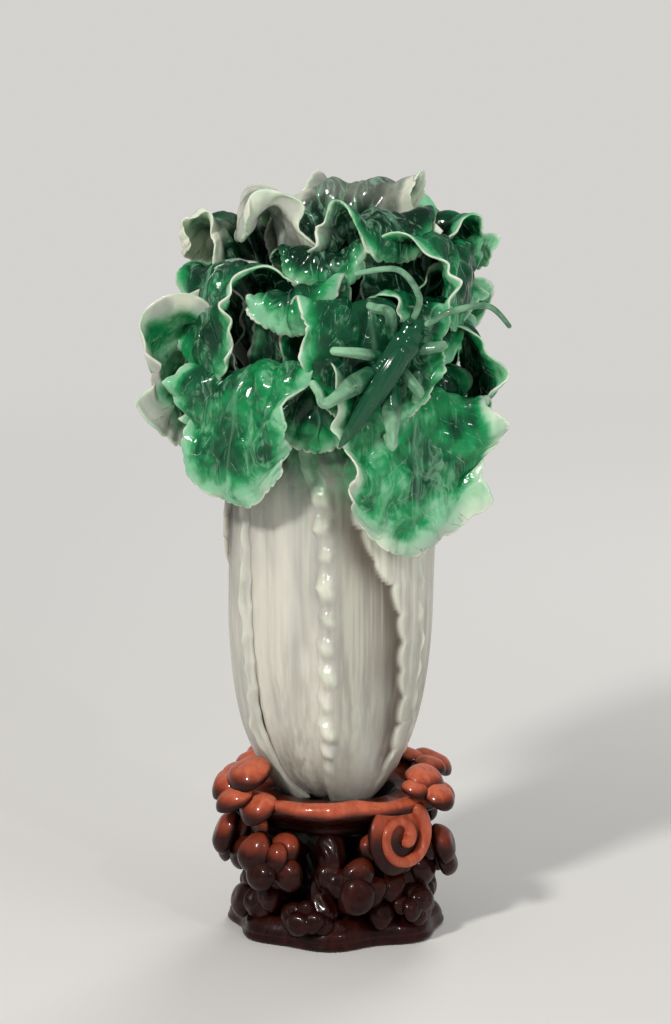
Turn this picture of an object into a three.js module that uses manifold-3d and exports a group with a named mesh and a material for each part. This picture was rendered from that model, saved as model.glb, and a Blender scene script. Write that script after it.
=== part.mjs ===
// A jade cabbage with a katydid on its leaves, carved from one block of jadeite and seated in the
// fitted socket of a carved hardwood stand of fungus heads on gnarled roots.
// Millimetres, +Z up. The origin is under the middle of the stand, the front faces -Y.
import * as THREE from "three";
import { mergeVertices } from "three/addons/utils/BufferGeometryUtils.js";
import Module from "manifold-3d";

const wasm = await Module();
wasm.setup();

// Sizes of the cabbage
const carvingHeight = 190;
const stalkRadius = 31;
const partingGap = 0.35;
const weldStep = 0.002;
const depthShare = 0.74;

// Walls of the stalks and the leaves, in the middle and at the margins
const stalkWall = 0.21 * stalkRadius;
const stalkMargin = 0.052 * stalkRadius;
const ribWall = 0.135 * stalkRadius;
const bladeMargin = 0.065 * stalkRadius;

// Sizes of the katydid
const katydidLength = 39;
const katydidHeight = 5.6;
const katydidHalfWidth = 4.6;
const legRadius = 1.5;
const antennaRadius = 1;

// Sizes of the stand
const seatTop = 46;
const seatReach = 2;
const seatFloor = 4;
const socketDepth = 8;
const socketClearance = 0.4;
const footHeight = 9;
const footRadius = 32;
const trunkRadius = 17.5;
const rootRadius = 5;
const headRadius = 10.5;
const headThickness = 7;
const scrollRadius = 2.6;
const standDepthShare = 0.84;

const leafJade = new THREE.MeshStandardMaterial({ color: 0x1f7a4a, roughness: 0.2, metalness: 0 });
const stalkJade = new THREE.MeshStandardMaterial({ color: 0xbfbab0, roughness: 0.25, metalness: 0 });
const paleJade = new THREE.MeshStandardMaterial({ color: 0x86b38c, roughness: 0.2, metalness: 0 });
const hardwood = new THREE.MeshStandardMaterial({ color: 0x7d3421, roughness: 0.45, metalness: 0 });

// Small helpers
const mix = (a, b, share) => a + (b - a) * share;
const radians = THREE.MathUtils.degToRad;
const smooth = (low, high, x) => THREE.MathUtils.smoothstep(x, low, high);

// A slow irregular wave of height 1: three sines whose periods don't fit together.
const wobble = (x, key) =>
  (Math.sin(x + key) + 0.6 * Math.sin(1.71 * x + 2.3 * key) + 0.4 * Math.sin(2.93 * x + 4.1 * key)) / 2;

// A closed solid from a geometry whose faces meet but whose vertices are not shared yet.
function solidOf(geometry) {
  const bare = new THREE.BufferGeometry();
  bare.setAttribute("position", geometry.getAttribute("position"));
  bare.setIndex(geometry.getIndex());
  const merged = mergeVertices(bare);
  return new wasm.Manifold(
    new wasm.Mesh({
      numProp: 3,
      vertProperties: merged.getAttribute("position").array,
      triVerts: new Uint32Array(merged.getIndex().array),
    }),
  );
}

// The geometry of a solid, ready for a mesh.
function geometryOf(solid) {
  const mesh = solid.getMesh();
  const geometry = new THREE.BufferGeometry();
  geometry.setAttribute("position", new THREE.BufferAttribute(mesh.vertProperties, 3));
  geometry.setIndex(new THREE.BufferAttribute(mesh.triVerts, 1));
  return geometry.toNonIndexed();
}

// The largest body of a solid, without the crumbs that a cut may shear off.
const largest = (solid) =>
  solid.decompose().reduce((best, body) => (body.volume() > best.volume() ? body : best));

// A solid with its points moved to a fine grid, so that points all but touching become one.
function weld(solid) {
  const mesh = solid.getMesh();
  const places = mesh.vertProperties.map((value) => Math.round(value / weldStep) * weldStep);
  const geometry = new THREE.BufferGeometry();
  geometry.setAttribute("position", new THREE.BufferAttribute(places, 3));
  geometry.setIndex(new THREE.BufferAttribute(mesh.triVerts, 1));
  return solidOf(geometry);
}

// What the cutters leave of a solid.
function carve(solid, cutters) {
  const cut = cutters.reduce((rest, cutter) => rest.subtract(cutter), solid);
  return largest(weld(largest(cut)));
}

// Adds the pieces to a group. Each is cut clear of all the pieces before it by the parting gap.
function assemble(group, pieces) {
  const cutters = [];
  for (const { name, material, solid } of pieces) {
    const plain = solid(0);
    const mesh = new THREE.Mesh(geometryOf(carve(plain, cutters)), material);
    mesh.name = name;
    group.add(mesh);
    cutters.push(plain.add(solid(partingGap)));
  }
}

// A closed sheet from two grids of points, front[row][column] and back[row][column].
function sheetGeometry(front, back) {
  const rows = front.length;
  const columns = front[0].length;
  const points = [...front.flat(), ...back.flat()];
  const at = (side, row, column) => side * rows * columns + row * columns + column;
  const index = [];
  const quad = (a, b, c, d) => index.push(a, b, c, a, c, d);
  for (let row = 0; row < rows - 1; row++) {
    for (let column = 0; column < columns - 1; column++) {
      quad(at(0, row, column), at(0, row, column + 1), at(0, row + 1, column + 1), at(0, row + 1, column));
      quad(at(1, row, column), at(1, row + 1, column), at(1, row + 1, column + 1), at(1, row, column + 1));
    }
    const last = columns - 1;
    quad(at(0, row, 0), at(0, row + 1, 0), at(1, row + 1, 0), at(1, row, 0));
    quad(at(0, row + 1, last), at(0, row, last), at(1, row, last), at(1, row + 1, last));
  }
  for (let column = 0; column < columns - 1; column++) {
    const last = rows - 1;
    quad(at(0, 0, column + 1), at(0, 0, column), at(1, 0, column), at(1, 0, column + 1));
    quad(at(0, last, column), at(0, last, column + 1), at(1, last, column + 1), at(1, last, column));
  }
  const geometry = new THREE.BufferGeometry().setFromPoints(points);
  geometry.setIndex(index);
  return geometry;
}

// A closed solid of rings. profile runs from the axis at the bottom, over the outside, to the axis
// at the top; ring(angle, radius, height) gives a point.
function ringGeometry(profile, sides, ring) {
  const inner = profile.slice(1, -1);
  const points = [ring(0, 0, profile[0].y)];
  for (const { x, y } of inner) {
    for (let side = 0; side < sides; side++) {
      points.push(ring((side / sides) * 2 * Math.PI, x, y));
    }
  }
  points.push(ring(0, 0, profile[profile.length - 1].y));
  const at = (level, side) => 1 + level * sides + (side % sides);
  const top = points.length - 1;
  const index = [];
  for (let side = 0; side < sides; side++) {
    index.push(0, at(0, side + 1), at(0, side));
    index.push(top, at(inner.length - 1, side), at(inner.length - 1, side + 1));
    for (let level = 0; level < inner.length - 1; level++) {
      index.push(at(level, side), at(level, side + 1), at(level + 1, side + 1));
      index.push(at(level, side), at(level + 1, side + 1), at(level + 1, side));
    }
  }
  const geometry = new THREE.BufferGeometry().setFromPoints(points);
  geometry.setIndex(index);
  return geometry;
}

// A profile for ringGeometry from shares of a radius and a height, grown outwards on every side.
function profileOf(shares, radius, height, grow) {
  const middle = height / 2;
  return shares.map(([radiusShare, heightShare]) => {
    const y = heightShare * height;
    const x = radiusShare * radius;
    return new THREE.Vector2(x > 0 ? x + grow : 0, y + grow * Math.sign(y - middle));
  });
}

// A closed tapered tube along a smooth curve through points, with a radius at each of them.
function limbSolid(points, radii, steps, sides, grow) {
  const path = new THREE.CatmullRomCurve3(points);
  const frames = path.computeFrenetFrames(steps, false);
  const centres = [];
  const vertices = [];
  for (let step = 0; step <= steps; step++) {
    const place = path.getUtoTmapping(step / steps) * (radii.length - 1);
    const before = Math.min(Math.floor(place), radii.length - 2);
    const radius = mix(radii[before], radii[before + 1], place - before) + grow;
    const end = step === 0 ? -grow : step === steps ? grow : 0;
    const centre = path.getPointAt(step / steps).addScaledVector(frames.tangents[step], end);
    centres.push(centre);
    for (let side = 0; side < sides; side++) {
      const angle = (side / sides) * 2 * Math.PI;
      const across = frames.normals[step].clone().multiplyScalar(Math.cos(angle) * radius);
      across.addScaledVector(frames.binormals[step], Math.sin(angle) * radius);
      vertices.push(across.add(centre));
    }
  }
  const start = vertices.length;
  vertices.push(centres[0], centres[steps]);
  const at = (step, side) => step * sides + (side % sides);
  const index = [];
  for (let side = 0; side < sides; side++) {
    index.push(start, at(0, side + 1), at(0, side));
    index.push(start + 1, at(steps, side), at(steps, side + 1));
    for (let step = 0; step < steps; step++) {
      index.push(at(step, side), at(step, side + 1), at(step + 1, side + 1));
      index.push(at(step, side), at(step + 1, side + 1), at(step + 1, side));
    }
  }
  const geometry = new THREE.BufferGeometry().setFromPoints(vertices);
  geometry.setIndex(index);
  return solidOf(geometry);
}

// The kinds of leaf. startShares are radius and height along the midrib, as shares of stalkRadius
// and carvingHeight; spread is the stalk's half angle; the blade's half width, the radius that it is
// bowed to, its ruffle and its drift aside are shares of stalkRadius.
const kinds = {
  full: {
    startShares: [[0.28, 0], [0.54, 0.035], [0.74, 0.09], [0.88, 0.16], [0.96, 0.28], [0.97, 0.42]],
    spread: 37,
    bladeStartShare: 0.52,
    bladeHalfShare: 0.96,
    columns: 6,
    rowShares: [0, 0.06, 0.12, 0.2, 0.32, 0.6],
    bladeRows: 15,
  },
  tucked: {
    startShares: [[0.18, 0.015], [0.46, 0.055], [0.64, 0.11], [0.76, 0.18], [0.84, 0.28], [0.87, 0.42]],
    spread: 42,
    bladeStartShare: 0.52,
    bladeHalfShare: 0.86,
    columns: 6,
    rowShares: [0, 0.06, 0.12, 0.2, 0.32, 0.6],
    bladeRows: 15,
  },
  middle: {
    startShares: [[0.55, 0.45]],
    spread: 50,
    bladeStartShare: 0.3,
    bladeHalfShare: 0.76,
    columns: 6,
    rowShares: [0],
    bladeRows: 9,
  },
  heart: {
    startShares: [[0.2, 0.5]],
    spread: 60,
    bladeStartShare: 0.25,
    bladeHalfShare: 0.7,
    columns: 5,
    rowShares: [0],
    bladeRows: 6,
  },
};

// The leaves, from the outside in. turn is the way that a leaf faces, from the front to the right,
// and twist is how far its blade turns on its midrib, both in degrees.
const leaves = [
  {
    name: "leaf_middle_front",
    ...kinds.middle,
    turn: 10,
    riseShares: [
      [0.64, 0.58], [0.78, 0.7], [0.98, 0.79], [1.18, 0.83],
      [1.36, 0.79], [1.42, 0.71], [1.38, 0.64],
    ],
    bowShare: 3.2,
    ruffleShare: 0.1,
    waves: 3.6,
    phase: 0.3,
    leanShare: 0.1,
    twist: 6,
  },
  {
    name: "leaf_front_right",
    ...kinds.full,
    turn: 24,
    riseShares: [
      [0.99, 0.54], [1.07, 0.63], [1.2, 0.69], [1.36, 0.67],
      [1.45, 0.59], [1.45, 0.5], [1.38, 0.435],
    ],
    bowShare: 2.8,
    ruffleShare: 0.1,
    waves: 6,
    phase: 0.6,
    leanShare: 0.15,
    twist: 10,
  },
  {
    name: "leaf_left",
    ...kinds.full,
    turn: -94,
    riseShares: [
      [0.99, 0.56], [1.08, 0.67], [1.24, 0.755], [1.42, 0.775],
      [1.54, 0.72], [1.57, 0.64], [1.52, 0.57],
    ],
    bowShare: 3.2,
    ruffleShare: 0.1,
    waves: 6,
    phase: 0.45,
    leanShare: -0.1,
    twist: -10,
  },
  {
    name: "leaf_back_right",
    ...kinds.full,
    turn: 150,
    riseShares: [
      [0.98, 0.56], [1.04, 0.7], [1.18, 0.8], [1.36, 0.835],
      [1.51, 0.79], [1.54, 0.7], [1.48, 0.62],
    ],
    bowShare: 3.2,
    ruffleShare: 0.1,
    waves: 6,
    phase: 0.8,
    leanShare: 0.1,
    twist: 0,
  },
  {
    name: "leaf_front_left",
    ...kinds.tucked,
    turn: -36,
    riseShares: [
      [0.9, 0.56], [1, 0.66], [1.17, 0.72], [1.36, 0.71],
      [1.48, 0.64], [1.5, 0.56], [1.45, 0.5],
    ],
    bowShare: 2.8,
    ruffleShare: 0.1,
    waves: 6,
    phase: 0.2,
    leanShare: -0.1,
    twist: -8,
  },
  {
    name: "leaf_right",
    ...kinds.tucked,
    turn: 86,
    riseShares: [
      [0.91, 0.55], [0.98, 0.67], [1.1, 0.755], [1.23, 0.77],
      [1.33, 0.715], [1.36, 0.635], [1.32, 0.56],
    ],
    bowShare: 3,
    ruffleShare: 0.1,
    waves: 6,
    phase: 0.65,
    leanShare: 0.1,
    twist: 10,
  },
  {
    name: "leaf_back_left",
    ...kinds.tucked,
    turn: 208,
    riseShares: [
      [0.9, 0.58], [0.98, 0.72], [1.12, 0.82], [1.3, 0.855],
      [1.45, 0.81], [1.48, 0.72], [1.42, 0.64],
    ],
    bowShare: 3,
    ruffleShare: 0.1,
    waves: 6,
    phase: 0.35,
    leanShare: -0.1,
    twist: 0,
  },
  {
    name: "leaf_middle_right",
    ...kinds.middle,
    turn: 62,
    riseShares: [
      [0.66, 0.6], [0.75, 0.74], [0.86, 0.85], [1.01, 0.915],
      [1.17, 0.905], [1.27, 0.845], [1.28, 0.775],
    ],
    bowShare: 3.2,
    ruffleShare: 0.1,
    waves: 3.6,
    phase: 0.7,
    leanShare: 0.1,
    twist: 12,
  },
  {
    name: "leaf_middle_left",
    ...kinds.middle,
    turn: -58,
    riseShares: [
      [0.66, 0.6], [0.77, 0.73], [0.92, 0.84], [1.11, 0.88],
      [1.29, 0.84], [1.36, 0.76], [1.34, 0.69],
    ],
    bowShare: 3.2,
    ruffleShare: 0.1,
    waves: 3.6,
    phase: 0.6,
    leanShare: -0.15,
    twist: -10,
  },
  {
    name: "leaf_middle_back_left",
    ...kinds.middle,
    turn: -118,
    riseShares: [
      [0.66, 0.62], [0.78, 0.77], [0.9, 0.87], [1.08, 0.93],
      [1.27, 0.935], [1.4, 0.905], [1.46, 0.86],
    ],
    bowShare: 3.2,
    ruffleShare: 0.1,
    waves: 3.6,
    phase: 0.3,
    leanShare: 0,
    twist: 0,
  },
  {
    name: "leaf_middle_back_right",
    ...kinds.middle,
    turn: 118,
    riseShares: [
      [0.66, 0.62], [0.78, 0.78], [0.93, 0.885], [1.12, 0.94],
      [1.3, 0.935], [1.42, 0.9], [1.47, 0.855],
    ],
    bowShare: 3.2,
    ruffleShare: 0.1,
    waves: 3.6,
    phase: 0.25,
    leanShare: 0,
    twist: 0,
  },
  {
    name: "leaf_middle_back",
    ...kinds.middle,
    turn: 182,
    riseShares: [
      [0.62, 0.62], [0.72, 0.78], [0.84, 0.885], [1.0, 0.945],
      [1.2, 0.95], [1.33, 0.92], [1.4, 0.875],
    ],
    bowShare: 3.2,
    ruffleShare: 0.1,
    waves: 3.6,
    phase: 0.9,
    leanShare: 0,
    twist: 0,
  },
  {
    name: "leaf_heart_right",
    ...kinds.heart,
    turn: 36,
    riseShares: [
      [0.29, 0.64], [0.4, 0.78], [0.54, 0.89],
      [0.72, 0.955], [0.92, 0.945], [1.02, 0.89],
    ],
    bowShare: 1.6,
    ruffleShare: 0.07,
    waves: 3,
    phase: 0.2,
    leanShare: 0,
    twist: 0,
  },
  {
    name: "leaf_heart_left",
    ...kinds.heart,
    turn: -76,
    riseShares: [
      [0.29, 0.65], [0.38, 0.8], [0.5, 0.91],
      [0.66, 0.975], [0.84, 0.965], [0.94, 0.91],
    ],
    bowShare: 1.6,
    ruffleShare: 0.07,
    waves: 3,
    phase: 0.6,
    leanShare: 0,
    twist: 0,
  },
  {
    name: "leaf_heart_back",
    ...kinds.heart,
    turn: 156,
    riseShares: [
      [0.26, 0.68], [0.35, 0.84], [0.47, 0.945],
      [0.64, 0.99], [0.82, 0.97], [0.9, 0.92],
    ],
    bowShare: 1.6,
    ruffleShare: 0.07,
    waves: 3,
    phase: 0.4,
    leanShare: 0,
    twist: 0,
  },
];

// Where a blade opens out of its stalk and where its tip begins, as shares of the midrib
const openShares = [-0.06, 0.24];
const tipStartShare = 0.72;
const tipNarrowShare = 0.45;
const tipBowShare = 0.07;
const tipBowPower = 2.4;
const tipWanderShare = 0.012;
const tipWanderTurns = 2.6;
const tipRuffleShare = 0.35;
const lobeShare = 0.07;
const sideWanderShare = 0.05;
const sideWanderTurns = 13;
const waveSkewShare = 0.3;
const rimPower = 2.2;
const curlGuard = 1.6;
const curlStepShare = 0.03;
const normalStepShare = 0.004;

for (const leaf of leaves) {
  const shares = [...leaf.startShares, ...leaf.riseShares];
  const points = shares.map(([x, y]) => new THREE.Vector2(x * stalkRadius, y * carvingHeight));
  leaf.spine = new THREE.SplineCurve(points);
}

const openedOf = (leaf, along) =>
  smooth(leaf.bladeStartShare + openShares[0], leaf.bladeStartShare + openShares[1], along);

// How tightly a leaf's midrib curls over outwards, as one over the radius of the curl.
function curlOf(leaf, along) {
  const low = Math.max(0, along - curlStepShare);
  const high = Math.min(1, along + curlStepShare);
  const turned = leaf.spine.getTangentAt(high).cross(leaf.spine.getTangentAt(low));
  return turned / ((high - low) * leaf.spine.getLength());
}

// A point of a leaf's middle surface; across runs -1 to 1 over the leaf, along 0 to 1 up it.
function leafPoint(leaf, across, along, grow) {
  const opened = openedOf(leaf, along);
  const tip = smooth(tipStartShare, 1, along);
  const tipWander = tipWanderShare * (1 + wobble(tipWanderTurns * across, leaf.turn));
  const reach = along - tip * (tipBowShare * Math.abs(across) ** tipBowPower + tipWander);
  const spine = leaf.spine.getPointAt(reach);
  const way = leaf.spine.getTangentAt(reach);
  const past = along >= 1 ? grow : along <= 0 ? -grow : 0;
  spine.addScaledVector(way, past);
  const wave = 2 * Math.PI * (leaf.waves * along + waveSkewShare * across + leaf.phase);
  const sideWander = wobble(sideWanderTurns * along + 3 * Math.sign(across), leaf.turn);
  const swell = 1 + lobeShare * Math.cos(wave) + sideWanderShare * sideWander;
  const wide = leaf.bladeHalfShare * stalkRadius * swell;
  const half = mix(radians(leaf.spread) * spine.x, wide, opened) * Math.sqrt(1 - tipNarrowShare * tip * tip);
  const bow = mix(1 / spine.x, 1 / (leaf.bowShare * stalkRadius), opened);
  const arc = across * (half + grow) * bow;
  const aside = Math.sin(arc) / bow;
  const sunk = (1 - Math.cos(arc)) / bow;
  const rimShare = Math.max(Math.abs(across) ** rimPower, tipRuffleShare * tip);
  const raised = leaf.ruffleShare * stalkRadius * opened * rimShare * Math.sin(wave) - sunk;
  const lift = raised / (1 + curlGuard * opened * Math.max(0, raised * curlOf(leaf, reach)));
  const turned = radians(leaf.twist) * opened;
  const drift = leaf.leanShare * stalkRadius * opened * opened;
  const side = aside * Math.cos(turned) - lift * Math.sin(turned) + drift;
  const out = aside * Math.sin(turned) + lift * Math.cos(turned);
  const radius = spine.x + way.y * out;
  const height = spine.y - way.x * out;
  const angle = radians(leaf.turn);
  const x = Math.sin(angle) * radius + Math.cos(angle) * side;
  const y = Math.sin(angle) * side - Math.cos(angle) * radius;
  return new THREE.Vector3(x, y * depthShare, height);
}

// The way out of a leaf's middle surface, on the side that faces away from the axis on a stalk.
function leafNormal(leaf, across, along) {
  const low = Math.max(0, along - normalStepShare);
  const high = Math.min(1, along + normalStepShare);
  const up = leafPoint(leaf, across, high, 0).sub(leafPoint(leaf, across, low, 0));
  const left = leafPoint(leaf, across - normalStepShare, along, 0);
  const over = leafPoint(leaf, across + normalStepShare, along, 0).sub(left);
  return over.cross(up).normalize();
}

// Half of a leaf's wall. A stalk stays thick almost to its margins, a blade thins away from its rib.
const stalkPower = 1.5;
const bladePower = 0.7;

function halfWall(leaf, across, along) {
  const opened = openedOf(leaf, along);
  const rib = mix(stalkWall, ribWall, opened);
  const margin = mix(stalkMargin, bladeMargin, opened);
  return mix(rib, margin, Math.abs(across) ** mix(stalkPower, bladePower, opened)) / 2;
}

// A leaf's closed solid.
function leafSolid(leaf, grow) {
  const alongs = leaf.rowShares.map((share) => share * leaf.bladeStartShare);
  for (let row = 0; row <= leaf.bladeRows; row++) {
    alongs.push(mix(leaf.bladeStartShare, 1, row / leaf.bladeRows));
  }
  const front = [];
  const back = [];
  for (const along of alongs) {
    const frontRow = [];
    const backRow = [];
    for (let column = 0; column <= leaf.columns; column++) {
      const across = mix(-1, 1, column / leaf.columns);
      const middle = leafPoint(leaf, across, along, grow);
      const normal = leafNormal(leaf, across, along);
      const wall = halfWall(leaf, across, along) + grow;
      frontRow.push(middle.clone().addScaledVector(normal, wall));
      backRow.push(middle.addScaledVector(normal, -wall));
    }
    front.push(frontRow);
    back.push(backRow);
  }
  return solidOf(sheetGeometry(front, back));
}

// A point of the surface that the full stalks lie in, moved out of it by so much.
function stalkSurface(angle, along, outside) {
  const { spine } = leaves.find((leaf) => leaf.startShares === kinds.full.startShares);
  const { x: radius, y: height } = spine.getPointAt(along);
  const way = spine.getTangentAt(along);
  const over = new THREE.Vector3(Math.cos(angle), Math.sin(angle) * depthShare, 0);
  const up = new THREE.Vector3(Math.sin(angle) * way.x, -Math.cos(angle) * way.x * depthShare, way.y);
  const middle = new THREE.Vector3(Math.sin(angle) * radius, -Math.cos(angle) * radius * depthShare, height);
  return middle.addScaledVector(over.cross(up).normalize(), outside);
}

// The lowest point of the carving, at the foot of the stalks on its broad sides.
const stalkFoot = stalkSurface(Math.PI / 2, 0, stalkWall / 2).z;

// The solid block behind the stalks and between the leaves, cut by all of them.
const coreShares = [
  [0.14, 0], [0.38, 0.06], [0.6, 0.14], [0.71, 0.24],
  [0.74, 0.4], [0.11, 0.52], [0.1, 0.78],
];

function coreSolid(grow) {
  const profile = coreShares.map(([x, y]) => new THREE.Vector2(x * stalkRadius + grow, y * carvingHeight));
  const top = coreShares[coreShares.length - 1][1] * carvingHeight + grow;
  profile[0].y = stalkFoot;
  profile.unshift(new THREE.Vector2(0, stalkFoot));
  profile.push(new THREE.Vector2(0, top));
  const ring = (angle, radius, height) =>
    new THREE.Vector3(Math.sin(angle) * radius, -Math.cos(angle) * radius * depthShare, height);
  return solidOf(ringGeometry(profile, 14, ring));
}

// The katydid clings to the hanging face of one leaf, its head up and to the right.
const perch = leaves.find((leaf) => leaf.name === "leaf_middle_front");
const perchAcrossShare = 0.12;
const perchAlongShare = 0.84;
const katydidTurn = 32;

const perchMiddle = leafPoint(perch, perchAcrossShare, perchAlongShare, 0);
const perchOut = leafNormal(perch, perchAcrossShare, perchAlongShare).negate();
const perchOver = leafPoint(perch, perchAcrossShare + normalStepShare, perchAlongShare, 0).sub(perchMiddle);
perchOver.addScaledVector(perchOut, -perchOver.dot(perchOut)).normalize();
const perchUp = perchOut.clone().cross(perchOver);
const forward = perchUp.clone().multiplyScalar(Math.cos(radians(katydidTurn)));
forward.addScaledVector(perchOver, Math.sin(radians(katydidTurn)));
const leftward = perchOut.clone().cross(forward);

// A point of the katydid in shares of its length: ahead of its middle, to its left, above the leaf.
function katydidPoint([aheadShare, leftShare, aboveShare]) {
  const face = halfWall(perch, perchAcrossShare, perchAlongShare);
  return perchMiddle
    .clone()
    .addScaledVector(forward, aheadShare * katydidLength)
    .addScaledVector(leftward, leftShare * katydidLength)
    .addScaledVector(perchOut, face + aboveShare * katydidLength);
}

// A point on the leaf's face under a foot.
function foothold([aheadShare, leftShare]) {
  const offset = forward.clone().multiplyScalar(aheadShare * katydidLength);
  offset.addScaledVector(leftward, leftShare * katydidLength);
  const across = perchAcrossShare + offset.dot(perchOver) / (perch.bladeHalfShare * stalkRadius);
  const along = Math.min(1, perchAlongShare - offset.dot(perchUp) / perch.spine.getLength());
  const out = leafNormal(perch, across, along).negate();
  return leafPoint(perch, across, along, 0).addScaledVector(out, halfWall(perch, across, along));
}

// Rings of a body along its length: ahead, half width and half height, and the centre's height, as
// shares of the length, half the width, half the height and the height.
const bodyShares = [
  [-0.5, 0.12, 0.1, 0.9],
  [-0.42, 0.5, 0.5, 0.92],
  [-0.22, 0.85, 0.85, 0.95],
  [0.02, 1, 1, 1],
  [0.14, 0.9, 0.98, 1.08],
  [0.27, 0.98, 1.05, 1.14],
  [0.33, 0.8, 0.85, 1.12],
  [0.4, 0.82, 0.9, 1.06],
  [0.47, 0.6, 0.7, 0.98],
  [0.51, 0.2, 0.25, 0.94],
];
const wingShares = [
  [-0.66, 0.05, 0.08, 1.1],
  [-0.56, 0.3, 0.4, 1.24],
  [-0.3, 0.6, 0.62, 1.5],
  [0, 0.7, 0.6, 1.68],
  [0.2, 0.5, 0.4, 1.66],
  [0.27, 0.1, 0.1, 1.6],
];
// A body of elliptical rings in the katydid's own directions.
function ringsSolid(rings, grow) {
  const profile = rings.map((ring, level) => new THREE.Vector2(1, level));
  profile.unshift(new THREE.Vector2(0, 0));
  profile.push(new THREE.Vector2(0, rings.length - 1));
  const ring = (angle, radius, level) => {
    const [aheadShare, widthShare, heightShare, centreShare] = rings[level];
    const end = level === 0 ? -grow : level === rings.length - 1 ? grow : 0;
    const wide = radius * (widthShare * katydidHalfWidth + grow);
    const tall = radius * ((heightShare * katydidHeight) / 2 + grow);
    return katydidPoint([aheadShare, 0, 0])
      .addScaledVector(forward, end)
      .addScaledVector(leftward, Math.sin(angle) * wide)
      .addScaledVector(perchOut, centreShare * katydidHeight - Math.cos(angle) * tall);
  };
  return solidOf(ringGeometry(profile, 10, ring));
}

const katydidBodySolid = (grow) => ringsSolid(bodyShares, grow).add(ringsSolid(wingShares, grow));

// Each leg's hip, knee and foot for the left side, in shares of the length, and its radii as shares
// of legRadius.
const legs = [
  {
    name: "hind",
    hipShares: [-0.02, 0.07, 0.12],
    kneeShares: [-0.42, 0.3, 0.3],
    footShares: [-0.62, 0.42],
    radiusShares: [1.7, 2, 1.1, 0.9, 0.8],
  },
  {
    name: "middle",
    hipShares: [0.1, 0.07, 0.1],
    kneeShares: [0.02, 0.28, 0.2],
    footShares: [-0.1, 0.42],
    radiusShares: [1.1, 1.1, 1, 0.9, 0.8],
  },
  {
    name: "fore",
    hipShares: [0.24, 0.07, 0.1],
    kneeShares: [0.4, 0.24, 0.18],
    footShares: [0.42, 0.4],
    radiusShares: [1.1, 1.1, 1, 0.9, 0.8],
  },
];

function legSolid({ hipShares, kneeShares, footShares, radiusShares }, side, grow) {
  const turned = ([ahead, left, above]) => [ahead, left * side, above];
  const start = katydidPoint(turned(hipShares));
  const bent = katydidPoint(turned(kneeShares));
  const end = foothold(turned(footShares));
  const points = [start, start.clone().lerp(bent, 0.5), bent, bent.clone().lerp(end, 0.5), end];
  const radii = radiusShares.map((share) => share * legRadius);
  return limbSolid(points, radii, 8, 6, grow);
}

// The antennae sweep up over the leaf and back down beside it.
const antennae = [
  {
    name: "left",
    pathShares: [[0.46, 0.05, 0.16], [0.62, 0.14, 0.3], [0.7, 0.4, 0.36], [0.5, 0.66, 0.34]],
  },
  {
    name: "right",
    pathShares: [[0.46, -0.05, 0.16], [0.66, -0.14, 0.28], [0.84, -0.36, 0.26], [0.8, -0.62, 0.16]],
  },
];
const antennaShares = [1, 1, 0.9, 0.7];

function antennaSolid({ pathShares }, grow) {
  const radii = antennaShares.map((share) => share * antennaRadius);
  return limbSolid(pathShares.map(katydidPoint), radii, 10, 5, grow);
}

// The pieces of the carving, cut in this order.
const stalked = [kinds.full.startShares, kinds.tucked.startShares];
const carvingPieces = leaves.map((leaf) => ({
  name: leaf.name,
  material: stalked.includes(leaf.startShares) ? stalkJade : leafJade,
  solid: (grow) => leafSolid(leaf, grow),
}));
carvingPieces.push({ name: "core", material: stalkJade, solid: coreSolid });
carvingPieces.push({ name: "katydid_body", material: paleJade, solid: katydidBodySolid });
for (const leg of legs) {
  for (const [word, side] of [["left", 1], ["right", -1]]) {
    const solid = (grow) => legSolid(leg, side, grow);
    carvingPieces.push({ name: `katydid_${leg.name}_leg_${word}`, material: paleJade, solid });
  }
}
for (const antenna of antennae) {
  const solid = (grow) => antennaSolid(antenna, grow);
  carvingPieces.push({ name: `katydid_antenna_${antenna.name}`, material: paleJade, solid });
}

// A point of the stand. turn is in degrees from the front to the right.
function standPoint(turn, radius, height) {
  const angle = radians(turn);
  return new THREE.Vector3(Math.sin(angle) * radius, -Math.cos(angle) * radius * standDepthShare, height);
}

// A ring of the stand whose outline swells and dips, and turns as it rises. Each row of lobeShares is
// a count of lobes, their share of the radius and where they start.
function lobedRing(lobeShares, twist) {
  return (angle, radius, height) => {
    const turned = angle + twist * height;
    const lobe = ([count, share, start]) => share * Math.cos(count * turned + start);
    const swell = lobeShares.reduce((sum, row) => sum + lobe(row), 1);
    return standPoint(THREE.MathUtils.radToDeg(angle), radius * swell, height);
  };
}

// The seat reaches a little past the stalk.
const seatRadius = stalkRadius + seatReach;
const seatThickness = socketDepth + socketClearance + seatFloor;
const seatBottom = seatTop - seatThickness;
const seatOuterShares = [[0, 0], [0.6, 0], [0.84, 0.24], [0.98, 0.56], [1, 0.82]];
const seatInnerShares = [[0.94, 1], [0.85, 0.98], [0.77, 0.86], [0, 0.86]];
const seatLobeShares = [[5, 0.035, 0.5], [9, 0.02, 1.1]];

// The socket is the underside of the stalk, grown by its clearance.
const carvingBase = seatTop - socketDepth - stalkFoot;
const socketEndShare = 0.14;
const socketSteps = 4;

function socketSolid() {
  const profile = [new THREE.Vector2(0, 0)];
  for (let step = 0; step <= socketSteps; step++) {
    profile.push(new THREE.Vector2(1, step));
  }
  profile.push(new THREE.Vector2(0, socketSteps));
  const ring = (angle, radius, step) => {
    const along = (step / socketSteps) * socketEndShare;
    const point = stalkSurface(angle, along, stalkWall / 2 + socketClearance);
    const height = step > 0 ? point.z : stalkFoot - socketClearance;
    return new THREE.Vector3(point.x * radius, point.y * radius, carvingBase + height);
  };
  return solidOf(ringGeometry(profile, 30, ring));
}

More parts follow.
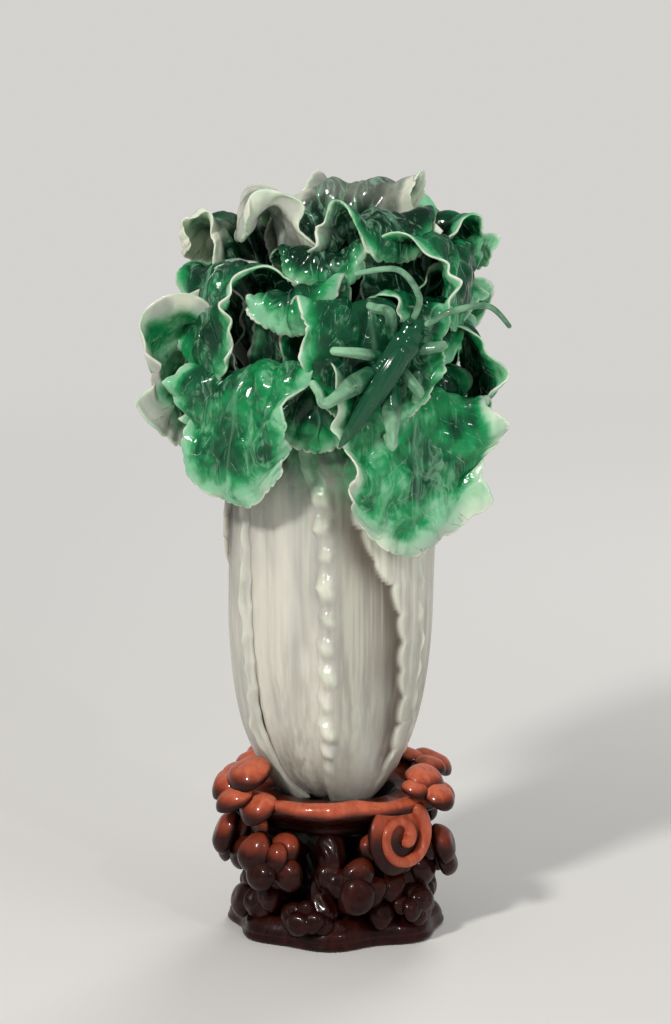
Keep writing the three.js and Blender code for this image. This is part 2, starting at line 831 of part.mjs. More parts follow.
function seatSolid(grow) {
  const profile = profileOf([...seatOuterShares, ...seatInnerShares], seatRadius, seatThickness, grow);
  profile.forEach((point) => (point.y += seatBottom));
  return solidOf(ringGeometry(profile, 26, lobedRing(seatLobeShares, 0))).subtract(socketSolid());
}

const footShares = [[0, 0], [0.97, 0], [1, 0.3], [0.95, 0.66], [0.82, 0.94], [0.6, 1], [0, 1]];
const footLobeShares = [[7, 0.05, 0.3], [4, 0.03, 1.3]];

function footSolid(grow) {
  const profile = profileOf(footShares, footRadius, footHeight, grow);
  return solidOf(ringGeometry(profile, 28, lobedRing(footLobeShares, 0)));
}

// The trunk runs a little into the seat and the foot, which cut it to length.
const trunkShares = [[0, 0], [1.12, 0], [0.98, 0.25], [0.92, 0.55], [1, 0.8], [1.1, 1], [0, 1]];
const trunkLobeShares = [[5, 0.1, 0.2], [3, 0.06, 1.4]];
const trunkTurn = 52;
const overrun = 1;

function trunkSolid(grow) {
  const low = footHeight - overrun;
  const tall = seatBottom + overrun - low;
  const profile = profileOf(trunkShares, trunkRadius, tall, grow);
  profile.forEach((point) => (point.y += low));
  return solidOf(ringGeometry(profile, 15, lobedRing(trunkLobeShares, radians(trunkTurn) / tall)));
}

// The roots, from the seat down to the foot. Each point is a turn in degrees, a share of seatRadius
// and a share of seatTop.
const roots = [
  {
    turn: -8,
    sizeShare: 0.85,
    bendShares: [[0, 0.62, 0.74], [5, 0.84, 0.58], [-4, 0.74, 0.38], [3, 0.86, 0.16]],
  },
  {
    turn: 60,
    sizeShare: 1,
    bendShares: [[0, 0.64, 0.74], [6, 0.82, 0.6], [-3, 0.78, 0.38], [8, 0.9, 0.14]],
  },
  {
    turn: 96,
    sizeShare: 0.95,
    bendShares: [[0, 0.64, 0.74], [-6, 0.84, 0.56], [4, 0.74, 0.36], [0, 0.88, 0.15]],
  },
  {
    turn: 148,
    sizeShare: 1,
    bendShares: [[0, 0.64, 0.74], [6, 0.82, 0.58], [-5, 0.76, 0.36], [0, 0.88, 0.15]],
  },
  {
    turn: 198,
    sizeShare: 0.9,
    bendShares: [[0, 0.64, 0.74], [-6, 0.82, 0.56], [5, 0.74, 0.36], [0, 0.88, 0.15]],
  },
  {
    turn: 250,
    sizeShare: 1,
    bendShares: [[0, 0.64, 0.74], [6, 0.84, 0.58], [-5, 0.76, 0.36], [0, 0.9, 0.15]],
  },
  {
    turn: 302,
    sizeShare: 1.05,
    bendShares: [[0, 0.64, 0.74], [-7, 0.82, 0.56], [5, 0.76, 0.36], [-4, 0.9, 0.15]],
  },
];

const rootShares = [1.15, 0.9, 0.85, 1.2];

function rootSolid({ turn, bendShares, sizeShare }, grow) {
  const points = bendShares.map(([aside, radiusShare, heightShare]) =>
    standPoint(turn + aside, radiusShare * seatRadius, heightShare * seatTop),
  );
  const radii = rootShares.map((share) => share * sizeShare * rootRadius);
  return limbSolid(points, radii, 7, 7, grow);
}

// The fungus heads: name, turn in degrees, place as shares of seatRadius and seatTop, size as a share
// of headRadius, and a tilt in degrees from facing up to facing outwards. Those below the seat have a
// stem to the trunk.
const headPlaceShares = [
  ["head_left_top", -66, 0.97, 1, 1.05, 28],
  ["head_right_top", 64, 0.98, 0.99, 0.9, 26],
  ["head_back_right_top", 126, 0.98, 0.98, 0.95, 28],
  ["head_back_left_top", 222, 0.98, 1, 1, 28],
  ["head_left", -84, 0.96, 0.64, 0.9, 68],
  ["head_front_left", -40, 1, 0.58, 0.85, 72],
  ["head_front", 8, 0.96, 0.46, 0.8, 78],
  ["head_front_low", -16, 0.98, 0.22, 0.55, 75],
  ["head_right", 78, 0.96, 0.56, 0.85, 70],
  ["head_right_low", 48, 0.98, 0.24, 0.6, 75],
  ["head_back_right", 158, 0.96, 0.56, 0.9, 72],
  ["head_back_left", 206, 0.96, 0.5, 0.85, 72],
];
const stemBelowShare = 0.9;
const heads = headPlaceShares.map(([name, turn, radiusShare, heightShare, sizeShare, tilt]) => ({
  name,
  turn,
  radiusShare,
  heightShare,
  sizeShare,
  tilt,
  stem: heightShare < stemBelowShare,
}));
const headShares = [[0.8, -0.32], [1, -0.06], [0.92, 0.2], [0.62, 0.42], [0.28, 0.48]];
const notchShare = 0.28;
const notchPower = 6;
const stemShares = [0.4, 0.34, 0.34];
const stemReachShare = 0.76;
const stemDropShare = 0.3;

// The directions of a head: out along its long way, aside, and up out of its face.
function headFrame({ turn, radiusShare, heightShare, tilt }) {
  const centre = standPoint(turn, radiusShare * seatRadius, heightShare * seatTop);
  const outward = standPoint(turn, 1, 0).normalize();
  const face = outward.clone().multiplyScalar(Math.sin(radians(tilt)));
  face.z = Math.cos(radians(tilt));
  const aside = new THREE.Vector3(0, 0, 1).cross(outward);
  const out = aside.clone().cross(face);
  return { centre, face, aside, out };
}

function headSolid(head, grow) {
  const { centre, face, aside, out } = headFrame(head);
  const radius = headRadius * head.sizeShare;
  const profile = headShares.map(([radiusPart, heightPart]) => {
    const y = heightPart * headThickness * head.sizeShare;
    return new THREE.Vector2(radiusPart * radius + grow, y + grow * Math.sign(y));
  });
  profile.unshift(new THREE.Vector2(0, profile[0].y));
  profile.push(new THREE.Vector2(0, profile[profile.length - 1].y));
  const ring = (angle, reach, height) => {
    const notched = reach * (1 - notchShare * Math.max(0, -Math.cos(angle)) ** notchPower);
    return centre
      .clone()
      .addScaledVector(out, Math.cos(angle) * notched)
      .addScaledVector(aside, Math.sin(angle) * notched)
      .addScaledVector(face, height);
  };
  const dome = solidOf(ringGeometry(profile, 12, ring));
  if (!head.stem) {
    return dome;
  }
  const endHeight = mix(centre.z, seatBottom / 2, stemDropShare);
  const end = standPoint(head.turn, trunkRadius * stemReachShare, endHeight);
  const radii = stemShares.map((share) => share * radius);
  return dome.add(limbSolid([centre, centre.clone().lerp(end, 0.5), end], radii, 2, 6, grow));
}

// The scroll head: a dome with a ridge that winds in over its face.
const scroll = {
  name: "head_scroll",
  turn: 36,
  radiusShare: 0.96,
  heightShare: 0.76,
  sizeShare: 1.08,
  tilt: 80,
  stem: true,
};
const scrollTurns = 1.4;
const scrollSteps = 16;
const scrollReachShares = [0.12, 0.94];
const scrollHeightShares = [0.48, 0.1];
const scrollTaperShare = 0.7;

function scrollSolid(grow) {
  const { centre, face, aside, out } = headFrame(scroll);
  const radius = headRadius * scroll.sizeShare;
  const points = [];
  for (let step = 0; step <= scrollSteps; step++) {
    const share = step / scrollSteps;
    const angle = share * scrollTurns * 2 * Math.PI;
    const reach = mix(...scrollReachShares, share) * radius;
    const above = mix(...scrollHeightShares, share) * headThickness * scroll.sizeShare;
    const point = centre.clone().addScaledVector(out, Math.cos(angle) * reach);
    points.push(point.addScaledVector(aside, Math.sin(angle) * reach).addScaledVector(face, above));
  }
  const radii = points.map((point, step) => mix(scrollTaperShare, 1, step / scrollSteps) * scrollRadius);
  return headSolid(scroll, grow).add(limbSolid(points, radii, scrollSteps, 6, grow));
}

// The pieces of the stand, cut in this order.
const standPieces = heads.map((head) => ({
  name: head.name,
  material: hardwood,
  solid: (grow) => headSolid(head, grow),
}));
standPieces.push({ name: scroll.name, material: hardwood, solid: scrollSolid });
standPieces.push({ name: "seat", material: hardwood, solid: seatSolid });
standPieces.push({ name: "foot", material: hardwood, solid: footSolid });
roots.forEach((root, number) => {
  const solid = (grow) => rootSolid(root, grow);
  standPieces.push({ name: `root_${number + 1}`, material: hardwood, solid });
});
standPieces.push({ name: "trunk", material: hardwood, solid: trunkSolid });

const carving = new THREE.Group();
carving.position.z = carvingBase;
assemble(carving, carvingPieces);

const stand = new THREE.Group();
assemble(stand, standPieces);

const part = new THREE.Group();
part.add(stand, carving);

export default part;
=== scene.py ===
"""Dresses a jade cabbage with a katydid, on its carved hardwood stand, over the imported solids.

Lengths are metres in the frame's own axes: +Z up, -Y to the front and +X to the right.
"""

from dataclasses import dataclass
from types import SimpleNamespace

import bpy
import numpy as np
from bpy.props import FloatProperty, FloatVectorProperty, PointerProperty
from bpy.types import Operator, Panel, PropertyGroup
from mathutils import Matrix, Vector


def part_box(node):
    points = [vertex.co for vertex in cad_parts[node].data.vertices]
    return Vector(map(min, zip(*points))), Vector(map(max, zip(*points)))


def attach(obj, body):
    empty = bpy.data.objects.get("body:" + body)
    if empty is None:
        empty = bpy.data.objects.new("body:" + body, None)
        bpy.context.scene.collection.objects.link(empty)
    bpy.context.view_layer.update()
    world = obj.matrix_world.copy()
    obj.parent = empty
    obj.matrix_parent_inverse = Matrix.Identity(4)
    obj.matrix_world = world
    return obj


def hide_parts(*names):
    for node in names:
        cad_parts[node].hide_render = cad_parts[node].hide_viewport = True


bl_info = {
    "name": "Jade Cabbage Carving",
    "version": (1, 0, 0),
    "blender": (4, 5, 0),
    "location": "View3D > Sidebar > Jade Cabbage",
    "description": "A polished jade cabbage with a katydid on a carved hardwood stand",
    "category": "Object",
}

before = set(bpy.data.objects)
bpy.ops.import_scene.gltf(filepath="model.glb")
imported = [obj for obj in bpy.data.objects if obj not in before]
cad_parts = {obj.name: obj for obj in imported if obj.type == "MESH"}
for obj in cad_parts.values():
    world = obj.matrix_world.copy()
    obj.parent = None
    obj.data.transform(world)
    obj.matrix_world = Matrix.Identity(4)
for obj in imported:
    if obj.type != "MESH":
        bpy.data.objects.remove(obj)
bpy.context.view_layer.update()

# Sizes of the cabbage
CARVING_HEIGHT = 0.19
STALK_RADIUS = 0.031
STALK_WALL = 0.21 * STALK_RADIUS
STALK_MARGIN = 0.06 * STALK_RADIUS
RIB_WALL = 0.125 * STALK_RADIUS
BLADE_MARGIN = 0.024 * STALK_RADIUS
DEPTH_SHARE = 0.74

# Sizes of the katydid
KATYDID_LENGTH = 0.039
KATYDID_HEIGHT = 0.0056
KATYDID_HALF_WIDTH = 0.0046
LEG_RADIUS = 0.0015
ANTENNA_RADIUS = 0.001

# Sizes of the stand
SEAT_TOP = 0.046
SEAT_RADIUS = STALK_RADIUS + 0.002
SEAT_FLOOR = 0.004
SOCKET_DEPTH = 0.008
SOCKET_CLEARANCE = 0.0004
FOOT_HEIGHT = 0.009
FOOT_RADIUS = 0.032
TRUNK_RADIUS = 0.0175
ROOT_RADIUS = 0.005
HEAD_RADIUS = 0.0105
HEAD_THICKNESS = 0.007
SCROLL_RADIUS = 0.0026
STAND_DEPTH_SHARE = 0.84

# Numbers on arrays

SPLINE_STEPS = 1200

# The height, the pace and the share of the key of each sine in a wobble
WOBBLE_SINES = ((1, 1, 1), (0.6, 1.71, 2.3), (0.4, 2.93, 4.1))


def mix(low, high, share):
    """The value a share of the way from low to high."""
    return low + (high - low) * share


def smooth(low, high, value):
    """A smooth step: 0 up to low, 1 from high on, 3 s^2 - 2 s^3 between."""
    share = np.clip((value - low) / (high - low), 0, 1)
    return share * share * (3 - 2 * share)


def quarter(value):
    """A quarter ellipse: 1 up to 0, then down to 0 at 1."""
    return np.sqrt(1 - np.clip(value, 0, 1) ** 2)


def bell(value):
    """1 at 0, falling away to both sides."""
    return np.exp(-(value**2))


def wobble(value, key):
    """A slow irregular wave of height 1: three sines whose periods don't fit together."""
    return sum(height * np.sin(pace * value + start * key) for height, pace, start in WOBBLE_SINES) / 2


def scallop(value):
    """Rounded lobes with sharp notches at the whole numbers, from 0 in a notch to 1: root of |sin|."""
    return np.sqrt(np.abs(np.sin(np.pi * value)))


def around(sides):
    """The angles of one full turn, as a row."""
    return np.linspace(0, 2 * np.pi, sides, endpoint=False)[None, :]


def unit(vectors):
    """Vectors at length 1."""
    return vectors / np.maximum(np.linalg.norm(vectors, axis=-1, keepdims=True), 1e-12)


def spline(points, shares):
    """A Catmull-Rom spline through the points, at shares of its length."""
    points = np.asarray(points, float)
    last = len(points) - 1
    place = np.linspace(0, last, SPLINE_STEPS)
    before = np.clip(place.astype(int), 0, last - 1)
    step = (place - before)[:, None]
    p0 = points[np.maximum(before - 1, 0)]
    p1 = points[before]
    p2 = points[before + 1]
    p3 = points[np.minimum(before + 2, last)]
    way1 = (p2 - p0) / 2
    way2 = (p3 - p1) / 2
    cubic = 2 * p1 - 2 * p2 + way1 + way2
    square = 3 * p2 - 3 * p1 - 2 * way1 - way2
    dense = ((cubic * step + square) * step + way1) * step + p1
    run = np.concatenate([[0], np.cumsum(np.linalg.norm(np.diff(dense, axis=0), axis=1))])
    found = [np.interp(shares, run / run[-1], dense[:, axis]) for axis in range(dense.shape[1])]
    return np.stack(found, axis=-1), run[-1]


# Skins of rings


def shell(points, end, values):
    """Vertices, triangles and vertex values of a closed skin from rings of points, points[row, column].

    end says how the first and the last ring close: "pole", where a ring shrinks to one point, or "seam",
    where it folds flat and its two halves are sewn together.
    """
    rows, columns, _ = points.shape
    index = np.arange(rows * columns).reshape(rows, columns)
    folded = np.minimum(np.arange(columns), (columns - np.arange(columns)) % columns)
    for row in (0, -1):
        index[row] = index[row, 0] if end == "pole" else index[row][folded]
    low = index[:-1]
    high = index[1:]
    near = np.roll(low, -1, axis=1)
    far = np.roll(high, -1, axis=1)
    corners = [np.stack([low, near, far], axis=-1), np.stack([low, far, high], axis=-1)]
    triangles = np.concatenate([corner.reshape(-1, 3) for corner in corners])
    a, b, c = triangles.T
    triangles = triangles[(a != b) & (b != c) & (c != a)]
    used, triangles = np.unique(triangles, return_inverse=True)
    flat = {key: np.broadcast_to(value, (rows, columns)).reshape(-1)[used] for key, value in values.items()}
    return points.reshape(-1, 3)[used], triangles.reshape(-1, 3), flat


def tube(path, radii, reference, sides, rows, relief=None):
    """A closed tube of rings along a spline: centre + radius (1 + relief) (cos a normal + sin a binormal).

    The normal is square to the path and to the reference direction, and relief is a function of the angle
    and of the share of the way along. The ends are rounded off.
    """
    share = 0.5 - 0.5 * np.cos(np.linspace(0, np.pi, rows))
    share = mix(np.linspace(0, 1, rows), share, 0.4)
    centre, length = spline(path, share)
    way = unit(np.gradient(centre, share, axis=0))
    normal = unit(np.cross(way, reference))
    binormal = np.cross(way, normal)
    radius = np.interp(share, np.linspace(0, 1, len(radii)), radii)
    ends = quarter(1 - share * length / radius) * quarter(1 - (1 - share) * length / radius)
    angle = around(sides)
    reach = (radius * ends)[:, None]
    if relief is not None:
        reach = reach * (1 + relief(angle, share[:, None]))
    ring = np.cos(angle)[..., None] * normal[:, None] + np.sin(angle)[..., None] * binormal[:, None]
    return centre[:, None] + reach[..., None] * ring


# The leaves

OPEN_SHARES = (-0.06, 0.24)
TIP_START_SHARE = 0.72
TIP_NARROW_SHARE = 0.45
TIP_BOW_SHARE = 0.07
TIP_WANDER_SHARE = 0.012
TIP_RUFFLE_SHARE = 0.35
TIP_LOBES = 6.3
LOBE_SHARE = 0.07
SIDE_WANDER_SHARE = 0.05
WAVE_SKEW_SHARE = 0.3
RIM_POWER = 2.2
CURL_GUARD = 1.6
CURL_STEP_SHARE = 0.03
NORMAL_STEP_SHARE = 0.003
STALK_POWER = 1.5
BLADE_POWER = 0.7
BILLOW_LENGTH = 0.008
SIDE_VEINS = 7
HEART_SIDE_VEINS = 5
VEIN_SWEEP_SHARE = 0.42

# How far the wobbles of a leaf run, in radians, over its length or over half its width
SIDE_PACE = 13
NOTCH_PACE = 23
NOTCH_DEPTH_PACE = 7
MARGIN_PACE = 21
RIDGE_PACE = 30
OVERLAP_PACE = 24
FLUTE_PACES = (13, 31)

# The stalk's crimped margin and the edge of a leaf that lies over its neighbour
KNOB_STEP = 0.0088
KNOB_SIDE = -1
KNOB_ROW_SHARE = 0.84
KNOB_LENGTH_SHARE = 0.4
KNOB_WIDTH_SHARE = 0.16
RIDGE_WIDTH_SHARE = 0.06
OVERLAP_FADE_SHARE = 0.35
HOLLOW_WIDTH_SHARE = 0.48

# Where a leaf's wall starts to thin out and how far that takes, as shares of the way across and along
THIN_SIDE_SHARES = (0.93, 0.07)
THIN_TIP_SHARES = (0.975, 0.025)
THIN_FOOT_SHARE = 0.02


@dataclass
class Kind:
    """A kind of leaf. start holds radius and height along the midrib, as shares of the stalk's radius and
    the carving's height, spread is the stalk's half angle, opens is where the blade starts, and half is
    the blade's half width as a share of the stalk's radius. ruffle is the height of the waves of its rim,
    as such a share, and waves is their number. The counts are rows below and above opens, and columns on
    each face."""

    start: list
    spread: float
    opens: float
    half: float
    ruffle: float
    waves: float
    counts: tuple


FULL = Kind(
    [(0.28, 0), (0.54, 0.035), (0.74, 0.09), (0.88, 0.16), (0.96, 0.28), (0.97, 0.42)],
    37, 0.52, 0.96, 0.1, 6, (96, 156, 88),
)
TUCKED = Kind(
    [(0.18, 0.015), (0.46, 0.055), (0.64, 0.11), (0.76, 0.18), (0.84, 0.28), (0.87, 0.42)],
    42, 0.52, 0.86, 0.1, 6, (96, 148, 84),
)
MIDDLE = Kind([(0.55, 0.45)], 50, 0.3, 0.76, 0.1, 3.6, (20, 136, 80))
HEART = Kind([(0.2, 0.5)], 60, 0.25, 0.7, 0.07, 3, (16, 104, 70))
FOLD = Kind([(0.4, 0.46)], 55, 0.22, 0.56, 0.1, 4, (12, 96, 60))
TOP_FOLD = Kind([(0.4, 0.46)], 55, 0.22, 0.56, 0.08, 3, (12, 96, 60))


@dataclass
class Leaf:
    """A leaf: the way it faces in degrees from the front to the right, the radius that its blade is bowed
    to as a share of the stalk's, the phase of its waves, how far its blade drifts aside and turns, how
    pale it is, and the rest of its midrib."""

    kind: Kind
    turn: float
    bow: float
    phase: float
    lean: float
    twist: float
    pale: float
    rise: list

    def __post_init__(self):
        points = np.array(self.kind.start + self.rise) * (STALK_RADIUS, CARVING_HEIGHT)
        self.steps = np.linspace(0, 1, SPLINE_STEPS)
        self.spine, self.length = spline(points, self.steps)
        self.ways = unit(np.gradient(self.spine, self.steps, axis=0))

    def at(self, track, share):
        """Points or directions of the midrib at shares of its length."""
        return [np.interp(share, self.steps, track[:, axis]) for axis in (0, 1)]

    def opened(self, along):
        """0 on the stalk, 1 where the blade has opened."""
        return smooth(self.kind.opens + OPEN_SHARES[0], self.kind.opens + OPEN_SHARES[1], along)

    def blade(self, along):
        """How far up the blade, from 0 where it starts to 1 at its tip."""
        return np.clip((along - self.kind.opens) / (1 - self.kind.opens), 0, 1)


def grown(kind, rows):
    """The leaves of one kind, from a row of values for each."""
    return {name: Leaf(kind, *row) for name, row in rows.items()}


OUTER_LEAVES = grown(FULL, {
    "leaf_front_right": (24, 2.8, 0.6, 0.15, 10, 0.3, [
        (0.99, 0.54), (1.07, 0.63), (1.2, 0.69), (1.36, 0.67), (1.45, 0.59), (1.45, 0.5), (1.38, 0.435),
    ]),
    "leaf_left": (-94, 3.2, 0.45, -0.1, -10, 0.5, [
        (0.99, 0.56), (1.08, 0.67), (1.24, 0.755), (1.42, 0.775), (1.54, 0.72), (1.57, 0.64), (1.52, 0.57),
    ]),
    "leaf_back_right": (150, 3.2, 0.8, 0.1, 0, 0.1, [
        (0.98, 0.56), (1.04, 0.7), (1.18, 0.8), (1.36, 0.835), (1.51, 0.79), (1.54, 0.7), (1.48, 0.62),
    ]),
}) | grown(TUCKED, {
    "leaf_front_left": (-36, 2.8, 0.2, -0.1, -8, 0.15, [
        (0.9, 0.56), (1, 0.66), (1.17, 0.72), (1.36, 0.71), (1.48, 0.64), (1.5, 0.56), (1.45, 0.5),
    ]),
    "leaf_right": (86, 3, 0.65, 0.1, 10, 0.1, [
        (0.91, 0.55), (0.98, 0.67), (1.1, 0.755), (1.23, 0.77), (1.33, 0.715), (1.36, 0.635), (1.32, 0.56),
    ]),
    "leaf_back_left": (208, 3, 0.35, -0.1, 0, 0.2, [
        (0.9, 0.58), (0.98, 0.72), (1.12, 0.82), (1.3, 0.855), (1.45, 0.81), (1.48, 0.72), (1.42, 0.64),
    ]),
})
CROWN_LEAVES = grown(MIDDLE, {
    "leaf_middle_front": (10, 3.2, 0.3, 0.1, 6, 0, [
        (0.64, 0.58), (0.78, 0.7), (0.98, 0.79), (1.18, 0.83), (1.36, 0.79), (1.42, 0.71), (1.38, 0.64),
    ]),
    "leaf_middle_right": (62, 3.2, 0.7, 0.1, 12, 0, [
        (0.66, 0.6), (0.75, 0.74), (0.86, 0.85), (1.01, 0.915), (1.17, 0.905), (1.27, 0.845), (1.28, 0.775),
    ]),
    "leaf_middle_left": (-58, 3.2, 0.6, -0.15, -10, 0.15, [
        (0.66, 0.6), (0.77, 0.73), (0.92, 0.84), (1.11, 0.88), (1.29, 0.84), (1.36, 0.76), (1.34, 0.69),
    ]),
    "leaf_middle_back_left": (-118, 3.2, 0.3, 0, 0, 0.6, [
        (0.66, 0.62), (0.78, 0.77), (0.9, 0.87), (1.08, 0.93), (1.27, 0.935), (1.4, 0.905), (1.46, 0.86),
    ]),
    "leaf_middle_back_right": (118, 3.2, 0.25, 0, 0, 0, [
        (0.66, 0.62), (0.78, 0.78), (0.93, 0.885), (1.12, 0.94), (1.3, 0.935), (1.42, 0.9), (1.47, 0.855),
    ]),
    "leaf_middle_back": (182, 3.2, 0.9, 0, 0, 0.3, [
        (0.62, 0.62), (0.72, 0.78), (0.84, 0.885), (1.0, 0.945), (1.2, 0.95), (1.33, 0.92), (1.4, 0.875),
    ]),
}) | grown(HEART, {
    "leaf_heart_right": (36, 1.6, 0.2, 0, 0, 0.2, [
        (0.29, 0.64), (0.4, 0.78), (0.54, 0.89), (0.72, 0.955), (0.92, 0.945), (1.02, 0.89),
    ]),
    "leaf_heart_left": (-76, 1.6, 0.6, 0, 0, 0.9, [
        (0.29, 0.65), (0.38, 0.8), (0.5, 0.91), (0.66, 0.975), (0.84, 0.965), (0.94, 0.91),
    ]),
    "leaf_heart_back": (156, 1.6, 0.4, 0, 0, 0.6, [
        (0.26, 0.68), (0.35, 0.84), (0.47, 0.945), (0.64, 0.99), (0.82, 0.97), (0.9, 0.92),
    ]),
})
# Smaller leaves that fill the crown between the others
FOLDS = grown(FOLD, {
    "fold_front_left": (-22, 2.2, 0.1, 0, -10, 0, [
        (0.6, 0.6), (0.74, 0.73), (0.92, 0.82), (1.08, 0.85), (1.19, 0.83), (1.22, 0.78),
    ]),
    "fold_front_right": (40, 2.2, 0.7, 0.1, 12, 0, [
        (0.6, 0.6), (0.72, 0.72), (0.88, 0.8), (1.06, 0.83), (1.2, 0.79), (1.24, 0.72),
    ]),
    "fold_front_low": (-8, 2.2, 0.4, 0, 8, 0.1, [
        (0.74, 0.56), (0.86, 0.65), (1.02, 0.71), (1.16, 0.71), (1.24, 0.66), (1.25, 0.6),
    ]),
    "fold_right": (90, 2.2, 0.3, 0, 10, 0.1, [
        (0.6, 0.62), (0.7, 0.74), (0.82, 0.82), (0.94, 0.855), (1.05, 0.84), (1.09, 0.79),
    ]),
    "fold_right_low": (56, 2.2, 0.9, 0, -8, 0, [
        (0.74, 0.55), (0.84, 0.64), (0.96, 0.69), (1.08, 0.69), (1.16, 0.64), (1.17, 0.58),
    ]),
    "fold_left": (-90, 2.2, 0.5, 0, -10, 0.5, [
        (0.6, 0.62), (0.72, 0.75), (0.88, 0.84), (1.06, 0.87), (1.2, 0.84), (1.26, 0.77),
    ]),
    "fold_left_low": (-70, 2.2, 0.2, 0, 8, 0.1, [
        (0.74, 0.55), (0.88, 0.64), (1.04, 0.7), (1.16, 0.7), (1.23, 0.65), (1.22, 0.59),
    ]),
    "fold_back_right": (148, 2.2, 0.6, 0, 8, 0, [
        (0.6, 0.62), (0.72, 0.76), (0.88, 0.86), (1.06, 0.89), (1.2, 0.86), (1.25, 0.79),
    ]),
    "fold_back_left": (214, 2.2, 0.2, 0, -8, 0.2, [
        (0.6, 0.62), (0.72, 0.76), (0.88, 0.86), (1.06, 0.89), (1.2, 0.86), (1.25, 0.79),
    ]),
}) | grown(TOP_FOLD, {
    "fold_top_front": (-10, 1.4, 0.8, 0, 0, 0.2, [
        (0.3, 0.64), (0.42, 0.78), (0.56, 0.87), (0.72, 0.91), (0.86, 0.89), (0.92, 0.84),
    ]),
    "fold_top_right": (84, 1.4, 0.1, 0, 0, 0.4, [
        (0.3, 0.64), (0.4, 0.8), (0.52, 0.9), (0.66, 0.94), (0.8, 0.93), (0.88, 0.88),
    ]),
    "fold_top_back": (206, 1.4, 0.5, 0, 0, 0.3, [
        (0.3, 0.64), (0.4, 0.8), (0.52, 0.91), (0.66, 0.95), (0.8, 0.94), (0.88, 0.89),
    ]),
})
PERCH = CROWN_LEAVES["leaf_middle_front"]
PERCH_ACROSS_SHARE = 0.12
PERCH_ALONG_SHARE = 0.84

# How far the stalk's lowest point lies under the start of its midribs, and the height of that start
full_way = unit(OUTER_LEAVES["leaf_left"].ways[:1])[0]
STALK_FOOT = -full_way[0] * STALK_WALL / 2
CARVING_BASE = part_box("core")[0].z - STALK_FOOT


def height_share(points):
    """The height of points as a share of the carving's."""
    return (points[..., 2] - CARVING_BASE) / CARVING_HEIGHT


def curl_of(leaf, along):
    """How tightly the midrib curls over outwards, as one over the radius of the curl."""
    low = np.maximum(0, along - CURL_STEP_SHARE)
    high = np.minimum(1, along + CURL_STEP_SHARE)
    x1, y1 = leaf.at(leaf.ways, low)
    x2, y2 = leaf.at(leaf.ways, high)
    return (x2 * y1 - y2 * x1) / ((high - low) * leaf.length)


def vein_place(leaf, across, along):
    """Which side vein a place of the blade is at: a vein lies where this is a whole number.

    Side veins leave the midrib and sweep up to the rim, count (blade - slope |across|), a little out of true.
    """
    blade = leaf.blade(along)
    side = np.abs(across)
    count = HEART_SIDE_VEINS if leaf.kind is HEART else SIDE_VEINS
    place = count * (blade - VEIN_SWEEP_SHARE * side**1.2) + 0.25 * np.sign(across)
    return place + 0.22 * wobble(9 * blade + 5 * side, leaf.turn)


def beside_midrib(across):
    """0 on the midrib and 1 from about a tenth of the way to the rim on."""
    return smooth(0.02, 0.12, np.abs(across))


def midrib(leaf, across, along):
    """The midrib of the blade, from 0 to 1: a bell over its line, narrower and fainter towards the tip."""
    blade = leaf.blade(along)
    return leaf.opened(along) * bell(np.abs(across) / mix(0.09, 0.03, blade)) * (1 - smooth(0.8, 1, blade))


def tip_share(along):
    """0 up to where a leaf's tip starts, 1 at its end."""
    return smooth(TIP_START_SHARE, 1, along)


def rim_wave(leaf, across, along):
    """The angle of the large waves of a rim, in radians."""
    return 2 * np.pi * (leaf.kind.waves * along + WAVE_SKEW_SHARE * across + leaf.phase)


def billows(leaf, across, along):
    """Soft hollows and swellings of a blade, from -1 to 1: sines along and across that bend each other."""
    beside = across * leaf.kind.half * STALK_RADIUS / BILLOW_LENGTH
    up = along * leaf.length / BILLOW_LENGTH
    wave_across = np.sin(1.9 * beside + 1.3 * np.sin(1.1 * up + leaf.turn))
    return wave_across * np.sin(1.3 * up + 1.1 * np.sin(1.4 * beside + leaf.turn))


def puffs(leaf, across, along):
    """How far a blade puffs out between its side veins, from 0 on a vein to 1."""
    puff = 0.5 - 0.5 * np.cos(2 * np.pi * vein_place(leaf, across, along))
    return puff * beside_midrib(across) * smooth(0, 0.2, leaf.blade(along))


def off_perch(across, along):
    """0 under the katydid's body and 1 away from it."""
    return smooth(0.1, 0.5, np.hypot(across - PERCH_ACROSS_SHARE, 3 * (along - PERCH_ALONG_SHARE)))


def bowed_reach(leaf, across, along, notched):
    """How far up the midrib a place lies, once the tip is bowed, wanders a little and is cut by lobes."""
    bowed = TIP_BOW_SHARE * np.abs(across) ** 2.4
    wander = TIP_WANDER_SHARE * (1 + wobble(2.6 * across, leaf.turn))
    lobes = scallop(TIP_LOBES * across + 0.5 + 0.9 * wobble(4 * across, leaf.turn))
    uneven = 1 + 0.6 * wobble(7 * across, leaf.turn)
    notch = notched * bpy.context.scene.jade_detail.scallop_depth
    reach = along - tip_share(along) * (bowed + wander)
    return reach - smooth(0.95, 1, along) * (1 - lobes) * uneven * notch / leaf.length


